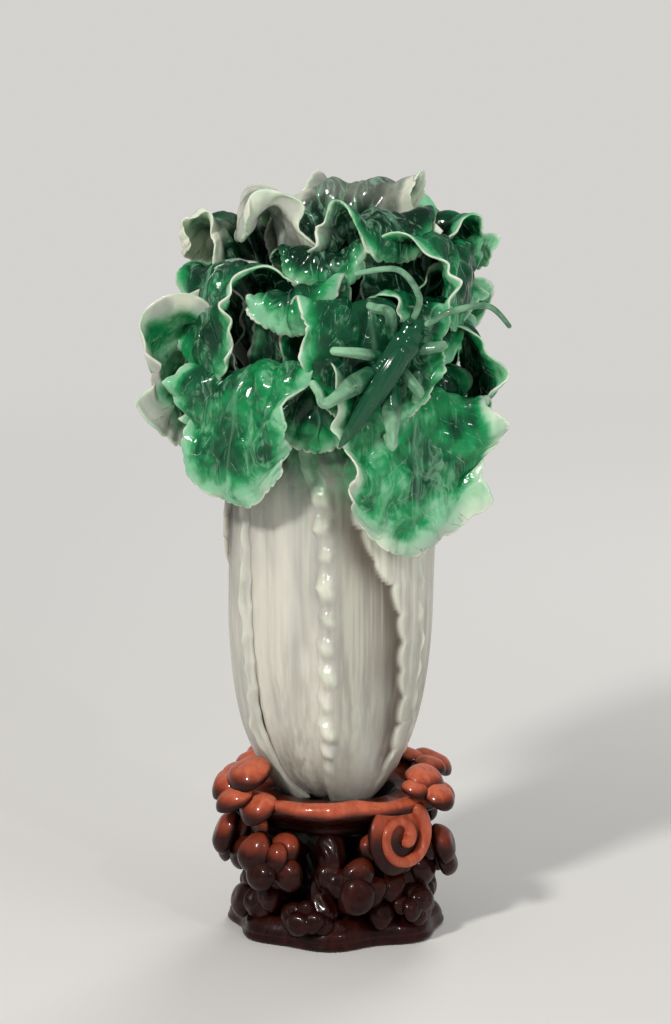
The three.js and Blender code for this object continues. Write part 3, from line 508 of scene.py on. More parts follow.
def half_width(leaf, across, along, stalk_half, notched):
    """Half of a leaf's width: the stalk's, and then the blade's, which swells with the waves of its rim,
    narrows to its tip and is cut by scallops. The margin of a stalk winds in and out between its knobs."""
    detail = bpy.context.scene.jade_detail
    opened = leaf.opened(along)
    tip = tip_share(along)
    wander = wobble(SIDE_PACE * along + 3 * np.sign(across), leaf.turn)
    swell = LOBE_SHARE * np.cos(rim_wave(leaf, across, along)) + SIDE_WANDER_SHARE * wander
    wide = leaf.kind.half * STALK_RADIUS * (1 + swell)
    half = mix(stalk_half, wide, opened) * np.sqrt(1 - TIP_NARROW_SHARE * tip * tip)
    turns = leaf.length / detail.scallop_length
    lobes = scallop(turns * along + 0.9 * wobble(NOTCH_PACE * along + across, leaf.turn))
    uneven = 0.65 + 0.35 * wobble(NOTCH_DEPTH_PACE * along - across, leaf.turn)
    depth = notched * detail.scallop_depth * uneven
    half = half - (1 - lobes) * depth * opened
    margin = 0.6 * wobble(MARGIN_PACE * along + np.sign(across), leaf.turn)
    margin = margin - scallop(along * leaf.length / KNOB_STEP)
    return half + notched * detail.margin_depth * margin * (1 - opened) * smooth(0.05, 0.2, along)


def raised_by(leaf, across, along, sunk):
    """How far a place of the blade stands out of the plane that touches its midrib, where its arc alone is
    sunk below that plane.

    Waves lift it, the more the nearer to the rim, and small waves ride on them. Inside the rim it is
    carved with billows and puffs, but not where the katydid sits.
    """
    detail = bpy.context.scene.jade_detail
    opened = leaf.opened(along)
    tip = tip_share(along)
    wave = rim_wave(leaf, across, along)
    rim = np.maximum(np.abs(across) ** RIM_POWER, TIP_RUFFLE_SHARE * tip)
    crinkle = np.sin(2.6 * wave + 1.4 * np.sin(0.8 * wave) + leaf.turn)
    crinkle = crinkle + tip * np.sin(9 * across + 3 * along + leaf.turn)
    relief = detail.billow_depth * billows(leaf, across, along)
    relief = relief - detail.puff_depth * puffs(leaf, across, along)
    if leaf is PERCH:
        relief = relief * off_perch(across, along)
    raised = leaf.kind.ruffle * STALK_RADIUS * opened * rim * np.sin(wave) - sunk
    raised = raised + opened * rim**1.5 * detail.crinkle_depth * crinkle
    return raised + opened * (1 - rim) * relief


def leaf_middle(leaf, across, along, notched=1.0):
    """A leaf's middle surface.

    The midrib is a spline in the plane of the leaf's turn. Across it the leaf is an arc, of the stalk's own
    radius low down and of a wide bow where the blade opens. Its waves and carving lift it out of the arc,
    less so inside a tight curl. As the blade opens it turns about its midrib and drifts aside. Notches cut
    its outline as deep as notched says.
    """
    opened = leaf.opened(along)
    reach = bowed_reach(leaf, across, along, notched)
    x, y = leaf.at(leaf.spine, reach)
    way_x, way_y = leaf.at(leaf.ways, reach)
    half = half_width(leaf, across, along, np.radians(leaf.kind.spread) * x, notched)
    bow = mix(1 / x, 1 / (leaf.bow * STALK_RADIUS), opened)
    arc = across * half * bow
    aside = np.sin(arc) / bow
    raised = raised_by(leaf, across, along, (1 - np.cos(arc)) / bow)
    lift = raised / (1 + CURL_GUARD * opened * np.maximum(0, raised * curl_of(leaf, reach)))
    turned = np.radians(leaf.twist) * opened
    drift = leaf.lean * STALK_RADIUS * opened * opened
    beside = aside * np.cos(turned) - lift * np.sin(turned) + drift
    out = aside * np.sin(turned) + lift * np.cos(turned)
    radius = x + way_y * out
    height = y - way_x * out
    angle = np.radians(leaf.turn)
    east = np.sin(angle) * radius + np.cos(angle) * beside
    north = (np.sin(angle) * beside - np.cos(angle) * radius) * DEPTH_SHARE
    return np.stack(np.broadcast_arrays(east, north, height + CARVING_BASE), axis=-1)


def leaf_normal(leaf, across, along):
    """The way out of the middle surface, over x up, on the side that faces away from the axis on a stalk."""
    low = np.maximum(0, along - NORMAL_STEP_SHARE)
    high = np.minimum(1, along + NORMAL_STEP_SHARE)
    up = leaf_middle(leaf, across, high, 0) - leaf_middle(leaf, across, low, 0)
    before = leaf_middle(leaf, across - NORMAL_STEP_SHARE, along, 0)
    over = leaf_middle(leaf, across + NORMAL_STEP_SHARE, along, 0) - before
    return unit(np.cross(over, up))


def half_wall(leaf, across, along):
    """Half of the wall. A stalk stays thick almost to its margins, a blade thins away from its rib."""
    opened = leaf.opened(along)
    rib = mix(STALK_WALL, RIB_WALL, opened)
    margin = mix(STALK_MARGIN, BLADE_MARGIN, opened)
    return mix(rib, margin, np.abs(across) ** mix(STALK_POWER, BLADE_POWER, opened)) / 2


def knobs(leaf, across, along):
    """The crimped margin of a stalk, from 0 to 1.

    On one side it is a row of rounded knobs, flat-topped bells of uneven size at uneven steps just inside
    the margin. On the other it is a ridge that winds to and fro.
    """
    place = along * leaf.length / KNOB_STEP + 0.5 * wobble(9 * along, leaf.turn)
    number = np.round(place)
    size = 0.8 + 0.2 * np.sin(2.4 * number + leaf.turn)
    row = KNOB_ROW_SHARE + 0.05 * np.sin(3.1 * number)
    off_along = (place - number) / (KNOB_LENGTH_SHARE * size)
    off_across = (np.abs(across) - row) / (KNOB_WIDTH_SHARE * size)
    knob = size * np.exp(-((off_along**2 + off_across**2) ** 1.5))
    winding = KNOB_ROW_SHARE + 0.07 * wobble(RIDGE_PACE * along, leaf.turn)
    swell = 0.75 + 0.25 * np.cos(2 * np.pi * place)
    ridge = 0.6 * bell((np.abs(across) - winding) / RIDGE_WIDTH_SHARE) * swell
    crimp = np.where(across * KNOB_SIDE > 0, knob, ridge)
    return crimp * smooth(0.06, 0.16, along) * (1 - leaf.opened(along))


def overlap(leaf, across, along):
    """Where a leaf of the stalk lies over the one beside it: how much it stands up, and how deep the hollow
    in front of its edge is, both from 0 to 1.

    The edge runs up the stalk on a parabola, winds to and fro and is cut into small lobes. Behind it the
    leaf falls back slowly, and in front of it the hollow fades out.
    """
    share = np.clip(along / leaf.kind.opens, 0, 1)
    side = 1 if leaf.turn > 0 else -1
    line = 0.1 - 0.4 * share + 2.4 * share * (1 - share)
    line = line + 0.07 * wobble(OVERLAP_PACE * along, leaf.turn)
    before = side * across - line
    beyond = before + 0.09 * scallop(along * leaf.length / KNOB_STEP)
    stands = smooth(-0.05, 0.05, beyond) * np.exp(-np.maximum(beyond, 0) / OVERLAP_FADE_SHARE)
    hollow = bell(np.minimum(before, 0) / HOLLOW_WIDTH_SHARE) * (1 - smooth(-0.05, 0.03, beyond))
    fade = smooth(0.04, 0.16, along) * (1 - leaf.opened(along)) * (1 - smooth(0.8, 1, np.abs(across)))
    return stands * fade, hollow * fade


def flutes(leaf, across, along):
    """Soft flutes up a stalk, from -1 to 1: a wobble across it, with a finer one on top."""
    broad, fine = (wobble(pace * across, leaf.turn) for pace in FLUTE_PACES)
    return (broad + 0.25 * fine) * (1 - leaf.opened(along)) * smooth(0.04, 0.25, along)


def stalk_marks(leaf, across, along):
    """A stalk's crimp, how much its overlap stands up, and the overlap's hollow. Full leaves alone have
    them."""
    if leaf.kind is FULL:
        return knobs(leaf, across, along), *overlap(leaf, across, along)
    return (np.zeros(across.shape),) * 3


def leaf_grid(kind):
    """The places of a leaf's grid: across, which runs from -1 to 1 and back, along, from 0 to 1, and the
    face, 1 on the side away from the axis and -1 on the other. Its rows are closer near the foot and the
    tip, and its columns near the rims."""
    low_rows, blade_rows, columns = kind.counts
    low = np.linspace(0, 1, low_rows, endpoint=False) ** 1.15 * kind.opens
    high = np.linspace(0, 1, blade_rows)
    high = mix(high, np.sin(high * np.pi / 2), 0.45)
    along = np.concatenate([low, mix(kind.opens, 1, high)])[:, None]
    run = np.linspace(-1, 1, columns, endpoint=False)
    run = mix(run, np.sin(run * np.pi / 2), 0.5)
    across = np.concatenate([run, -run])[None, :]
    face = np.repeat([1.0, -1.0], columns)[None, :]
    return np.broadcast_arrays(across, along, face)


def leaf_values(leaf, across, along, points):
    """The vertex values that the jade reads on any leaf."""
    opened = leaf.opened(along)
    tall = height_share(points)
    ring = np.hypot(points[..., 0], points[..., 1] / DEPTH_SHARE) / STALK_RADIUS
    from_side = (1 - np.abs(across)) * leaf.kind.half * STALK_RADIUS
    from_tip = (1 - along) * leaf.length
    detail = bpy.context.scene.jade_detail
    return {
        "green": np.maximum(smooth(0.42, 0.68, tall), smooth(0.1, 0.3, along - leaf.kind.opens)),
        "rim": opened * (1 - smooth(0, detail.rim_width, np.minimum(from_side, from_tip))),
        "tip": opened * (1 - smooth(0, detail.tip_width, np.minimum(from_side * 1.6, from_tip))),
        "vein": midrib(leaf, across, along),
        "place": vein_place(leaf, across, along),
        "veined": opened * beside_midrib(across) * (1 - smooth(0.6, 0.95, np.abs(across))),
        # painted shade: darker deep inside the crown
        "deep": smooth(0.6, 0.75, tall) * (1 - smooth(0.75, 1.25, ring)),
        "pale": leaf.pale * np.ones(across.shape),
        "key": (leaf.turn * 0.618) % 1 * np.ones(across.shape),
    }


def leaf_shell(leaf):
    """The closed skin of a leaf: the middle surface plus and minus the normal times half the wall, which
    runs to nothing as a quarter ellipse at the rim, the tip and the foot. The outer face carries the
    stalk's knobs, flutes and overlap, and a tucked stalk swells towards its margins."""
    detail = bpy.context.scene.jade_detail
    across, along, face = leaf_grid(leaf.kind)
    side = np.abs(across)
    middle = leaf_middle(leaf, across, along)
    normal = leaf_normal(leaf, across, along)
    edge = quarter((side - THIN_SIDE_SHARES[0]) / THIN_SIDE_SHARES[1])
    edge = edge * quarter((along - THIN_TIP_SHARES[0]) / THIN_TIP_SHARES[1])
    edge = edge * quarter((THIN_FOOT_SHARE - along) / THIN_FOOT_SHARE)
    crimp, stands, hollow = stalk_marks(leaf, across, along)
    wall = half_wall(leaf, across, along)
    wall = wall + detail.rib_height * midrib(leaf, across, along) * mix(1.6, 0.6, leaf.blade(along))
    relief = detail.knob_height * crimp + detail.flute_depth * flutes(leaf, across, along)
    relief = relief + detail.overlap_height * (stands - 0.5 * hollow)
    if leaf.kind is TUCKED:
        relief = relief + detail.tuck_height * smooth(0.4, 0.6, side) * (1 - leaf.opened(along))
    wall = wall + np.maximum(face, 0) * relief
    points = middle + normal * (wall * edge * face)[..., None]
    values = leaf_values(leaf, across, along, points)
    values["crimp"] = np.maximum(crimp, 0.8 * stands**3)
    # painted shade in the hollow in front of an overlapping edge, and darker and warmer towards the foot
    values["hollow"] = np.maximum(hollow, 0.36 * (1 - smooth(0.05, 0.2, height_share(points))))
    return shell(points, "seam", values)


# Blocks of jade behind the leaves: radius and height, as shares of the stalk's radius and the height
CORE_SHARES = [
    (0, -0.01), (0.08, -0.01), (0.14, 0), (0.38, 0.06), (0.6, 0.14), (0.71, 0.24), (0.74, 0.4), (0.5, 0.52),
    (0.11, 0.6), (0, 0.62),
]
CROWN_SHARES = [
    (0, 0.4), (0.4, 0.4), (0.66, 0.42), (0.74, 0.5), (0.78, 0.58), (0.86, 0.66), (0.86, 0.74), (0.7, 0.81),
    (0.4, 0.85), (0, 0.86),
]


def ring_block(shares, sides, rows):
    """Rings of a block round the axis, from a profile of shares."""
    profile, _ = spline(np.array(shares) * (STALK_RADIUS, CARVING_HEIGHT), np.linspace(0, 1, rows))
    angle = around(sides)
    reach, rise = profile[:, :1], profile[:, 1:]
    parts = [np.sin(angle) * reach, -np.cos(angle) * reach * DEPTH_SHARE, rise + CARVING_BASE + 0 * angle]
    return np.stack(parts, axis=-1)


def crown_block():
    """Rings of the block of jade that the folds grow from, with lumps all over it."""
    points = ring_block(CROWN_SHARES, 90, 140)
    tall = height_share(points)
    angle = np.arctan2(points[..., 0], -points[..., 1])
    lumps = 1 + 0.05 * np.sin(7 * angle + 3 * np.sin(14 * tall)) + 0.04 * np.sin(13 * angle - 22 * tall)
    points[..., :2] *= lumps[..., None]
    return points


# The vertex values that the jade reads
JADE_VALUES = ("green", "rim", "tip", "vein", "place", "veined", "crimp", "hollow", "deep", "pale", "key")


def jade_skin(points, **given):
    """A closed skin of jade that isn't a leaf. The vertex values that aren't given are 0."""
    plain = np.zeros(points.shape[:2])
    return shell(points, "pole", {name: plain + given.get(name, 0.0) for name in JADE_VALUES})


# The katydid on its perch

KATYDID_TURN = 32
BODY_SEGMENTS = 16
BODY_PALE = -0.12
LEG_PALES = (-0.1, 1.0)
EYE_RADIUS = 0.0011
EYE_SHARES = ((0.4, 0.075, 0.21), (0.445, 0.085, 0.21))
EYE_PALE = -0.5
ANTENNA_SHARES = (1, 1, 0.9, 0.7)
ANTENNA_PALE = 0.4


def perch_frame():
    """The katydid's place and directions: the middle of its perch, forward, leftward and out of the leaf,
    and the leaf's own ways across and along."""
    step = NORMAL_STEP_SHARE
    middle = leaf_middle(PERCH, PERCH_ACROSS_SHARE, PERCH_ALONG_SHARE)
    out = -leaf_normal(PERCH, PERCH_ACROSS_SHARE, PERCH_ALONG_SHARE)
    over = leaf_middle(PERCH, PERCH_ACROSS_SHARE + step, PERCH_ALONG_SHARE) - middle
    over = unit(over - np.dot(over, out) * out)
    up = np.cross(out, over)
    angle = np.radians(KATYDID_TURN)
    forward = np.cos(angle) * up + np.sin(angle) * over
    leftward = np.cross(out, forward)
    return SimpleNamespace(middle=middle, forward=forward, leftward=leftward, out=out, over=over, up=up)


def katydid_point(shares):
    """Points from shares of the katydid's length: ahead of its middle, to its left and above the leaf."""
    perch = perch_frame()
    shares = np.asarray(shares, float)[..., None]
    face = half_wall(PERCH, PERCH_ACROSS_SHARE, PERCH_ALONG_SHARE)
    ahead, left, above = shares[..., 0, :], shares[..., 1, :], shares[..., 2, :]
    place = perch.middle + ahead * KATYDID_LENGTH * perch.forward + left * KATYDID_LENGTH * perch.leftward
    return place + (face + above * KATYDID_LENGTH) * perch.out


def foothold(ahead, left):
    """A point on the leaf's face under a foot."""
    perch = perch_frame()
    offset = ahead * KATYDID_LENGTH * perch.forward + left * KATYDID_LENGTH * perch.leftward
    across = PERCH_ACROSS_SHARE + np.dot(offset, perch.over) / (PERCH.kind.half * STALK_RADIUS)
    along = min(1, PERCH_ALONG_SHARE - np.dot(offset, perch.up) / PERCH.length)
    out = -leaf_normal(PERCH, across, along)
    return leaf_middle(PERCH, across, along) + out * half_wall(PERCH, across, along)


# Rings of the body and the wings: how far ahead, half width, height and middle, as shares
BODY_SHARES = [
    (-0.5, 0.12, 0.1, 0.9),
    (-0.42, 0.5, 0.5, 0.92),
    (-0.22, 0.85, 0.85, 0.95),
    (0.02, 1, 1, 1),
    (0.14, 0.9, 0.98, 1.08),
    (0.27, 0.98, 1.05, 1.14),
    (0.33, 0.8, 0.85, 1.12),
    (0.4, 0.82, 0.9, 1.06),
    (0.47, 0.6, 0.7, 0.98),
    (0.51, 0.2, 0.25, 0.94),
]
WING_SHARES = [
    (-0.66, 0.05, 0.08, 1.1),
    (-0.56, 0.3, 0.4, 1.24),
    (-0.3, 0.6, 0.62, 1.5),
    (0, 0.7, 0.6, 1.68),
    (0.2, 0.5, 0.4, 1.66),
    (0.27, 0.1, 0.1, 1.6),
]
# How much each of these four counts in the length of the spline through them
RING_WEIGHTS = (1, 0.3, 0.3, 0.3)

# The hip, the knee, the foot and the widths of each pair of legs
LEGS = {
    "hind": ((-0.02, 0.07, 0.12), (-0.42, 0.3, 0.3), (-0.62, 0.42), (1.7, 2, 1.1, 0.9, 0.8)),
    "middle": ((0.1, 0.07, 0.1), (0.02, 0.28, 0.2), (-0.1, 0.42), (1.1, 1.1, 1, 0.9, 0.8)),
    "fore": ((0.24, 0.07, 0.1), (0.4, 0.24, 0.18), (0.42, 0.4), (1.1, 1.1, 1, 0.9, 0.8)),
}
ANTENNAE = {
    "left": [(0.46, 0.05, 0.16), (0.62, 0.14, 0.3), (0.7, 0.4, 0.36), (0.5, 0.66, 0.34)],
    "right": [(0.46, -0.05, 0.16), (0.66, -0.14, 0.28), (0.84, -0.36, 0.26), (0.8, -0.62, 0.16)],
}


def body_rings(rings, sides, rows, relief):
    """Ellipses along the katydid, whose half width, half height and centre follow splines through rings.
    relief(ahead share, angle) is added to the ellipse's size as a share of it."""
    perch = perch_frame()
    track, _ = spline(np.array(rings) * RING_WEIGHTS, np.linspace(0, 1, rows))
    ahead, wide, tall, centre = (track / RING_WEIGHTS).T
    angle = around(sides)
    swell = 1 + relief(ahead[:, None], angle)
    end = np.sqrt(1 - np.abs(np.linspace(-1, 1, rows)) ** 14)[:, None]
    aside = np.sin(angle) * wide[:, None] * KATYDID_HALF_WIDTH * swell * end
    below = np.cos(angle) * tall[:, None] * KATYDID_HEIGHT / 2 * swell * end
    above = centre[:, None] * KATYDID_HEIGHT - below
    start = katydid_point((0, 0, 0)) + ahead[:, None, None] * KATYDID_LENGTH * perch.forward
    return start + aside[..., None] * perch.leftward + above[..., None] * perch.out


def body_relief(ahead, _angle):
    """Rings round the hind body, between its segments."""
    return 0.04 * np.cos(2 * np.pi * BODY_SEGMENTS * ahead) * (ahead < 0.1)


def wing_relief(ahead, angle):
    """Ribs along the wings."""
    return 0.05 * np.cos(12 * angle + 6 * ahead)


def leg_relief(angle, share):
    """Four blunt edges along a leg, which fade out at its hip and foot."""
    return 0.1 * np.cos(4 * angle) * np.sqrt(np.sin(np.pi * share))


def sided_point(shares, side):
    """A point of the katydid that has a twin: side is 1 on its left and -1 on its right."""
    return katydid_point(np.array(shares) * (1, side, 1))


def eye_shell(side):
    """An eye, a short fat tube."""
    path = [sided_point(shares, side) for shares in EYE_SHARES]
    return jade_skin(tube(path, [EYE_RADIUS] * 2, perch_frame().out, 24, 30), pale=EYE_PALE)


def leg_shell(name, side):
    """A leg, from the hip over the knee to its foothold on the leaf, paler towards the foot."""
    hip, knee, foot, shares = LEGS[name]
    start = sided_point(hip, side)
    bent = sided_point(knee, side)
    end = foothold(foot[0], foot[1] * side)
    path = [start, mix(start, bent, 0.5), bent, mix(bent, end, 0.5), end]
    radii = [share * LEG_RADIUS for share in shares]
    points = tube(path, radii, perch_frame().out, 32, 120, leg_relief)
    return jade_skin(points, pale=np.linspace(*LEG_PALES, len(points))[:, None])


def antenna_shell(shares):
    """An antenna, through points given as shares of the katydid's length."""
    path = [katydid_point(share) for share in shares]
    radii = [share * ANTENNA_RADIUS for share in ANTENNA_SHARES]
    return jade_skin(tube(path, radii, perch_frame().out, 16, 90), pale=ANTENNA_PALE)


# The stand


def stand_point(turn, radius, height):
    """A point of the stand. turn is in degrees from the front to the right."""
    angle = np.radians(turn)
    parts = np.broadcast_arrays(np.sin(angle) * radius, -np.cos(angle) * radius * STAND_DEPTH_SHARE, height)
    return np.stack(parts, axis=-1)


def wood_skin(points, worn):
    """A closed skin of wood, with how much painted light from above each place gets, and how deep it lies
    in the stand, which the wood darkens as painted shade.
    """
    reach = np.hypot(points[..., 0], points[..., 1] / STAND_DEPTH_SHARE) / SEAT_RADIUS
    worn = np.clip(np.broadcast_to(worn, points.shape[:2]), 0, 1)
    return shell(points, "pole", {"worn": worn, "deep": 1 - smooth(0.55, 0.95, reach)})


# Profiles, as shares of a radius and a height, and outlines, each lobe a count, a share and a start
SEAT_THICKNESS = SOCKET_DEPTH + SOCKET_CLEARANCE + SEAT_FLOOR
SEAT_BOTTOM = SEAT_TOP - SEAT_THICKNESS
SEAT_SHARES = [
    (0, 0), (0.3, 0), (0.6, 0), (0.84, 0.24), (0.98, 0.56), (1, 0.82), (0.94, 1), (0.85, 0.98), (0.77, 0.86),
]
SEAT_LOBES = [(5, 0.035, 0.5), (9, 0.02, 1.1)]
SEAT_FACE_SHARE = 0.86
FOOT_SHARES = [(0, 0), (0.5, 0), (0.97, 0), (1, 0.3), (0.95, 0.66), (0.82, 0.94), (0.6, 1), (0, 1)]
FOOT_LOBES = [(7, 0.05, 0.3), (4, 0.03, 1.3)]
TRUNK_SHARES = [(0, 0), (0.6, 0), (1.12, 0), (0.98, 0.25), (0.92, 0.55), (1, 0.8), (1.1, 1), (0.6, 1), (0, 1)]
TRUNK_LOBES = [(5, 0.1, 0.2), (3, 0.06, 1.4)]
TRUNK_TURN = 52
OVERRUN = 0.001
SOCKET_FLOOR_SHARE = 0.6
SEAT_SWING = 0.0006
SEAT_SIDES = 200

# Each root's turn, size and bends: how far aside, and shares of the seat's radius and top
ROOTS = [
    (-8, 0.85, [(0, 0.62, 0.74), (5, 0.84, 0.58), (-4, 0.74, 0.38), (3, 0.86, 0.16)]),
    (60, 1, [(0, 0.64, 0.74), (6, 0.82, 0.6), (-3, 0.78, 0.38), (8, 0.9, 0.14)]),
    (96, 0.95, [(0, 0.64, 0.74), (-6, 0.84, 0.56), (4, 0.74, 0.36), (0, 0.88, 0.15)]),
    (148, 1, [(0, 0.64, 0.74), (6, 0.82, 0.58), (-5, 0.76, 0.36), (0, 0.88, 0.15)]),
    (198, 0.9, [(0, 0.64, 0.74), (-6, 0.82, 0.56), (5, 0.74, 0.36), (0, 0.88, 0.15)]),
    (250, 1, [(0, 0.64, 0.74), (6, 0.84, 0.58), (-5, 0.76, 0.36), (0, 0.9, 0.15)]),
    (302, 1.05, [(0, 0.64, 0.74), (-7, 0.82, 0.56), (5, 0.76, 0.36), (-4, 0.9, 0.15)]),
]
ROOT_SHARES = (1.15, 0.9, 0.85, 1.2)


@dataclass
class Head:
    """A fungus head: its turn in degrees from the front to the right, its place as shares of the seat's
    radius and top, its size as a share of the head's radius, and its tilt outwards in degrees."""

    turn: float
    ring: float
    height: float
    size: float
    tilt: float


HEADS = {
    "head_left_top": Head(-66, 0.97, 1, 1.05, 28),
    "head_right_top": Head(64, 0.98, 0.99, 0.9, 26),
    "head_back_right_top": Head(126, 0.98, 0.98, 0.95, 28),
    "head_back_left_top": Head(222, 0.98, 1, 1, 28),
    "head_left": Head(-84, 0.96, 0.64, 0.9, 68),
    "head_front_left": Head(-40, 1, 0.58, 0.85, 72),
    "head_front": Head(8, 0.96, 0.46, 0.8, 78),
    "head_front_low": Head(-16, 0.98, 0.22, 0.55, 75),
    "head_right": Head(78, 0.96, 0.56, 0.85, 70),
    "head_right_low": Head(48, 0.98, 0.24, 0.6, 75),
    "head_back_right": Head(158, 0.96, 0.56, 0.9, 72),
    "head_back_left": Head(206, 0.96, 0.5, 0.85, 72),
}
SCROLL_HEAD = Head(36, 0.96, 0.76, 1.08, 80)
STEM_BELOW_SHARE = 0.9
HEAD_SHARES = [
    (0, -0.3), (0.4, -0.34), (0.8, -0.32), (1, -0.06), (0.92, 0.2), (0.62, 0.42), (0.28, 0.48), (0, 0.47),
]
DOME_SHARES = (0.7, 0.62, 0.54)
DOME_REACH_SHARE = 0.42
STEM_SHARES = (0.4, 0.34, 0.34)
STEM_REACH_SHARE = 0.76
STEM_DROP_SHARE = 0.3
SCROLL_TURNS = 1.4
SCROLL_REACH_SHARES = (0.12, 0.94)
SCROLL_HEIGHT_SHARES = (0.3, 0.2)
SCROLL_WIDTH_SHARES = (1.05, 0.55, 0.6, 0.7, 0.85, 0.95)
BUD_RING = 0.88
BUDS = 40
BUD_STEPS = (0.7549, 0.5698)
BUD_HEIGHTS = (0.14, 0.8)
BUD_SIZES = (0.3, 0.62)
BUD_TILTS = (55, 85)
NECK_SHARE = 0.4
NECK_DROP_SHARE = 0.9

# The two small domes beside a head's own: the side, the size and how much lower, as shares of the head's
SIDE_DOMES = ((1, 0.6, 0.35), (-1, 0.5, -0.3))
SIDE_DOME_STEP_SHARE = 0.8
SIDE_DOME_RING_SHARE = 0.97
SIDE_DOME_TILT = 8


def head_frame(head):
    """A head's centre and its directions: up out of its face, aside, and out along its long way."""
    centre = stand_point(head.turn, head.ring * SEAT_RADIUS, head.height * SEAT_TOP)
    outward = unit(stand_point(head.turn, 1, 0))
    tilt = np.radians(head.tilt)
    face = np.sin(tilt) * outward + (0, 0, np.cos(tilt))
    aside = np.cross((0, 0, 1), outward)
    return centre, face, aside, np.cross(aside, face)


def dome_shell(head, share=1.0, shift=(0.0, 0.0, 0.0), dome=2.0, sides=56, rows=40):
    """A smooth fungus dome: a profile spun about its face's direction, a share of its head's size, its top
    raised by dome and bent into a saddle, x^2 - y^2. shift moves it out, aside and up, as shares of the
    head's radius. A dome gets painted light on top, as if lit from above, and more so high up on the stand."""
    centre, face, aside, out = head_frame(head)
    size = head.size * share
    centre = centre + HEAD_RADIUS * head.size * (shift[0] * out + shift[1] * aside + shift[2] * face)
    profile, _ = spline(HEAD_SHARES, np.linspace(0, 1, rows))
    reach, height = profile.T
    angle = around(sides)
    reach = reach[:, None]
    top = smooth(-0.1, 0.15, height)[:, None]
    key = np.radians(head.turn) + 5 * shift[0]
    outline = 1 + 0.06 * np.cos(2 * angle + 3 * key) + 0.04 * np.cos(3 * angle + key)
    saddle = (reach * np.sin(angle)) ** 2 - (reach * np.cos(angle)) ** 2
    rise = np.where(height > 0, height * dome, height)[:, None] + 0.12 * top * saddle * np.cos(key)
    spread = reach * outline * HEAD_RADIUS * size
    points = centre + (np.cos(angle) * spread)[..., None] * out + (np.sin(angle) * spread)[..., None] * aside
    points = points + (rise * HEAD_THICKNESS * size)[..., None] * face
    # painted light: the top of a dome, its upper side and the domes high on the stand are painted lighter
    lifted = smooth(-0.5, 0.6, (points[..., 2] - centre[2]) / (HEAD_RADIUS * size))
    return wood_skin(points, top * lifted * mix(0.12, 1, smooth(0.3, 1, centre[2] / SEAT_TOP)))


def cluster(head):
    """A head as three domes that swell into one another, with two smaller ones beside it, one lower and one
    higher."""
    parts = []
    for number, share in enumerate(DOME_SHARES):
        angle = np.radians(3 * head.turn + 120 * number)
        shift = (DOME_REACH_SHARE * np.cos(angle), DOME_REACH_SHARE * np.sin(angle), 0.3 - 0.15 * number)
        parts.append(dome_shell(head, share, shift))
    step = np.degrees(head.size * HEAD_RADIUS * SIDE_DOME_STEP_SHARE / (head.ring * SEAT_RADIUS))
    drop = head.size * HEAD_RADIUS / SEAT_TOP
    for side, share, lower in SIDE_DOMES:
        ring = head.ring * SIDE_DOME_RING_SHARE
        tilt = head.tilt + SIDE_DOME_TILT * side
        small = Head(head.turn + side * step, ring, head.height - lower * drop, head.size * share, tilt)
        parts.append(dome_shell(small))
    return parts


def stem_shell(head):
    """The stem of a head, from its middle in to the trunk, a little knotty."""
    centre = head_frame(head)[0]
    end_height = mix(centre[2], SEAT_BOTTOM / 2, STEM_DROP_SHARE)
    end = stand_point(head.turn, TRUNK_RADIUS * STEM_REACH_SHARE, end_height)
    radii = [share * HEAD_RADIUS * head.size for share in STEM_SHARES]

    def knots(angle, share):
        return 0.06 * np.cos(5 * angle + 6 * share) + 0.05 * np.sin(9 * share + head.turn)

    return wood_skin(tube([centre, (centre + end) / 2, end], radii, (0, 0, 1), 32, 30, knots), 0.1)


def bud_shells(number):
    """A small fungus bud, a dome on a short neck. The buds stand among the roots at even steps of two
    numbers that never line up."""
    turn = 360 * (BUD_STEPS[0] * number % 1)
    height = mix(*BUD_HEIGHTS, BUD_STEPS[1] * number % 1) * SEAT_TOP
    size = mix(*BUD_SIZES, BUD_STEPS[0] * 5 * number % 1)
    tilt = mix(*BUD_TILTS, BUD_STEPS[1] * 3 * number % 1)
    head = Head(turn, BUD_RING, height / SEAT_TOP, size, tilt)
    middle = stand_point(turn, BUD_RING * SEAT_RADIUS, height)
    root = stand_point(turn, TRUNK_RADIUS, height * NECK_DROP_SHARE)
    radii = [NECK_SHARE * size * HEAD_RADIUS] * 3
    neck = tube([middle, (middle + root) / 2, root], radii, (0, 0, 1), 20, 16)
    return [dome_shell(head, sides=36, rows=28), wood_skin(neck, 0.1)]


def scroll_shell():
    """The ridge that winds in over the scroll's face, as a spiral tube."""
    centre, face, aside, out = head_frame(SCROLL_HEAD)
    share = np.linspace(0, 1, 40)[:, None]
    angle = share * SCROLL_TURNS * 2 * np.pi
    reach = mix(*SCROLL_REACH_SHARES, share) * HEAD_RADIUS * SCROLL_HEAD.size
    above = mix(*SCROLL_HEIGHT_SHARES, share) * HEAD_THICKNESS * SCROLL_HEAD.size
    path = centre + np.cos(angle) * reach * out + np.sin(angle) * reach * aside + above * face
    # most of the scroll gets painted light
    return wood_skin(tube(path, [share * SCROLL_RADIUS for share in SCROLL_WIDTH_SHARES], face, 24, 120), 0.8)


def root_shell(root, number):
    """A gnarled root: a tube whose radius swells at knots and is grooved along its length."""
    turn, size, bends = root
    path = [stand_point(turn + aside, ring * SEAT_RADIUS, height * SEAT_TOP) for aside, ring, height in bends]
    radii = [share * size * ROOT_RADIUS for share in ROOT_SHARES]

    def gnarls(angle, share):
        swell = 0.1 * wobble(14 * share + 2 * np.cos(angle), number)
        return swell + 0.05 * np.cos(7 * angle + 9 * share + number)

    points = tube(path, radii, stand_point(turn, 1, 0), 48, 80, gnarls)
    # a little painted light, varying round the root
    return wood_skin(points, 0.12 + 0.1 * np.cos(7 * around(48) + number))


def lobed(angle, lobes):
    """1 plus a sum of cosines; each lobe is a count, a share and a start."""
    return 1 + sum(share * np.cos(count * angle + start) for count, share, start in lobes)


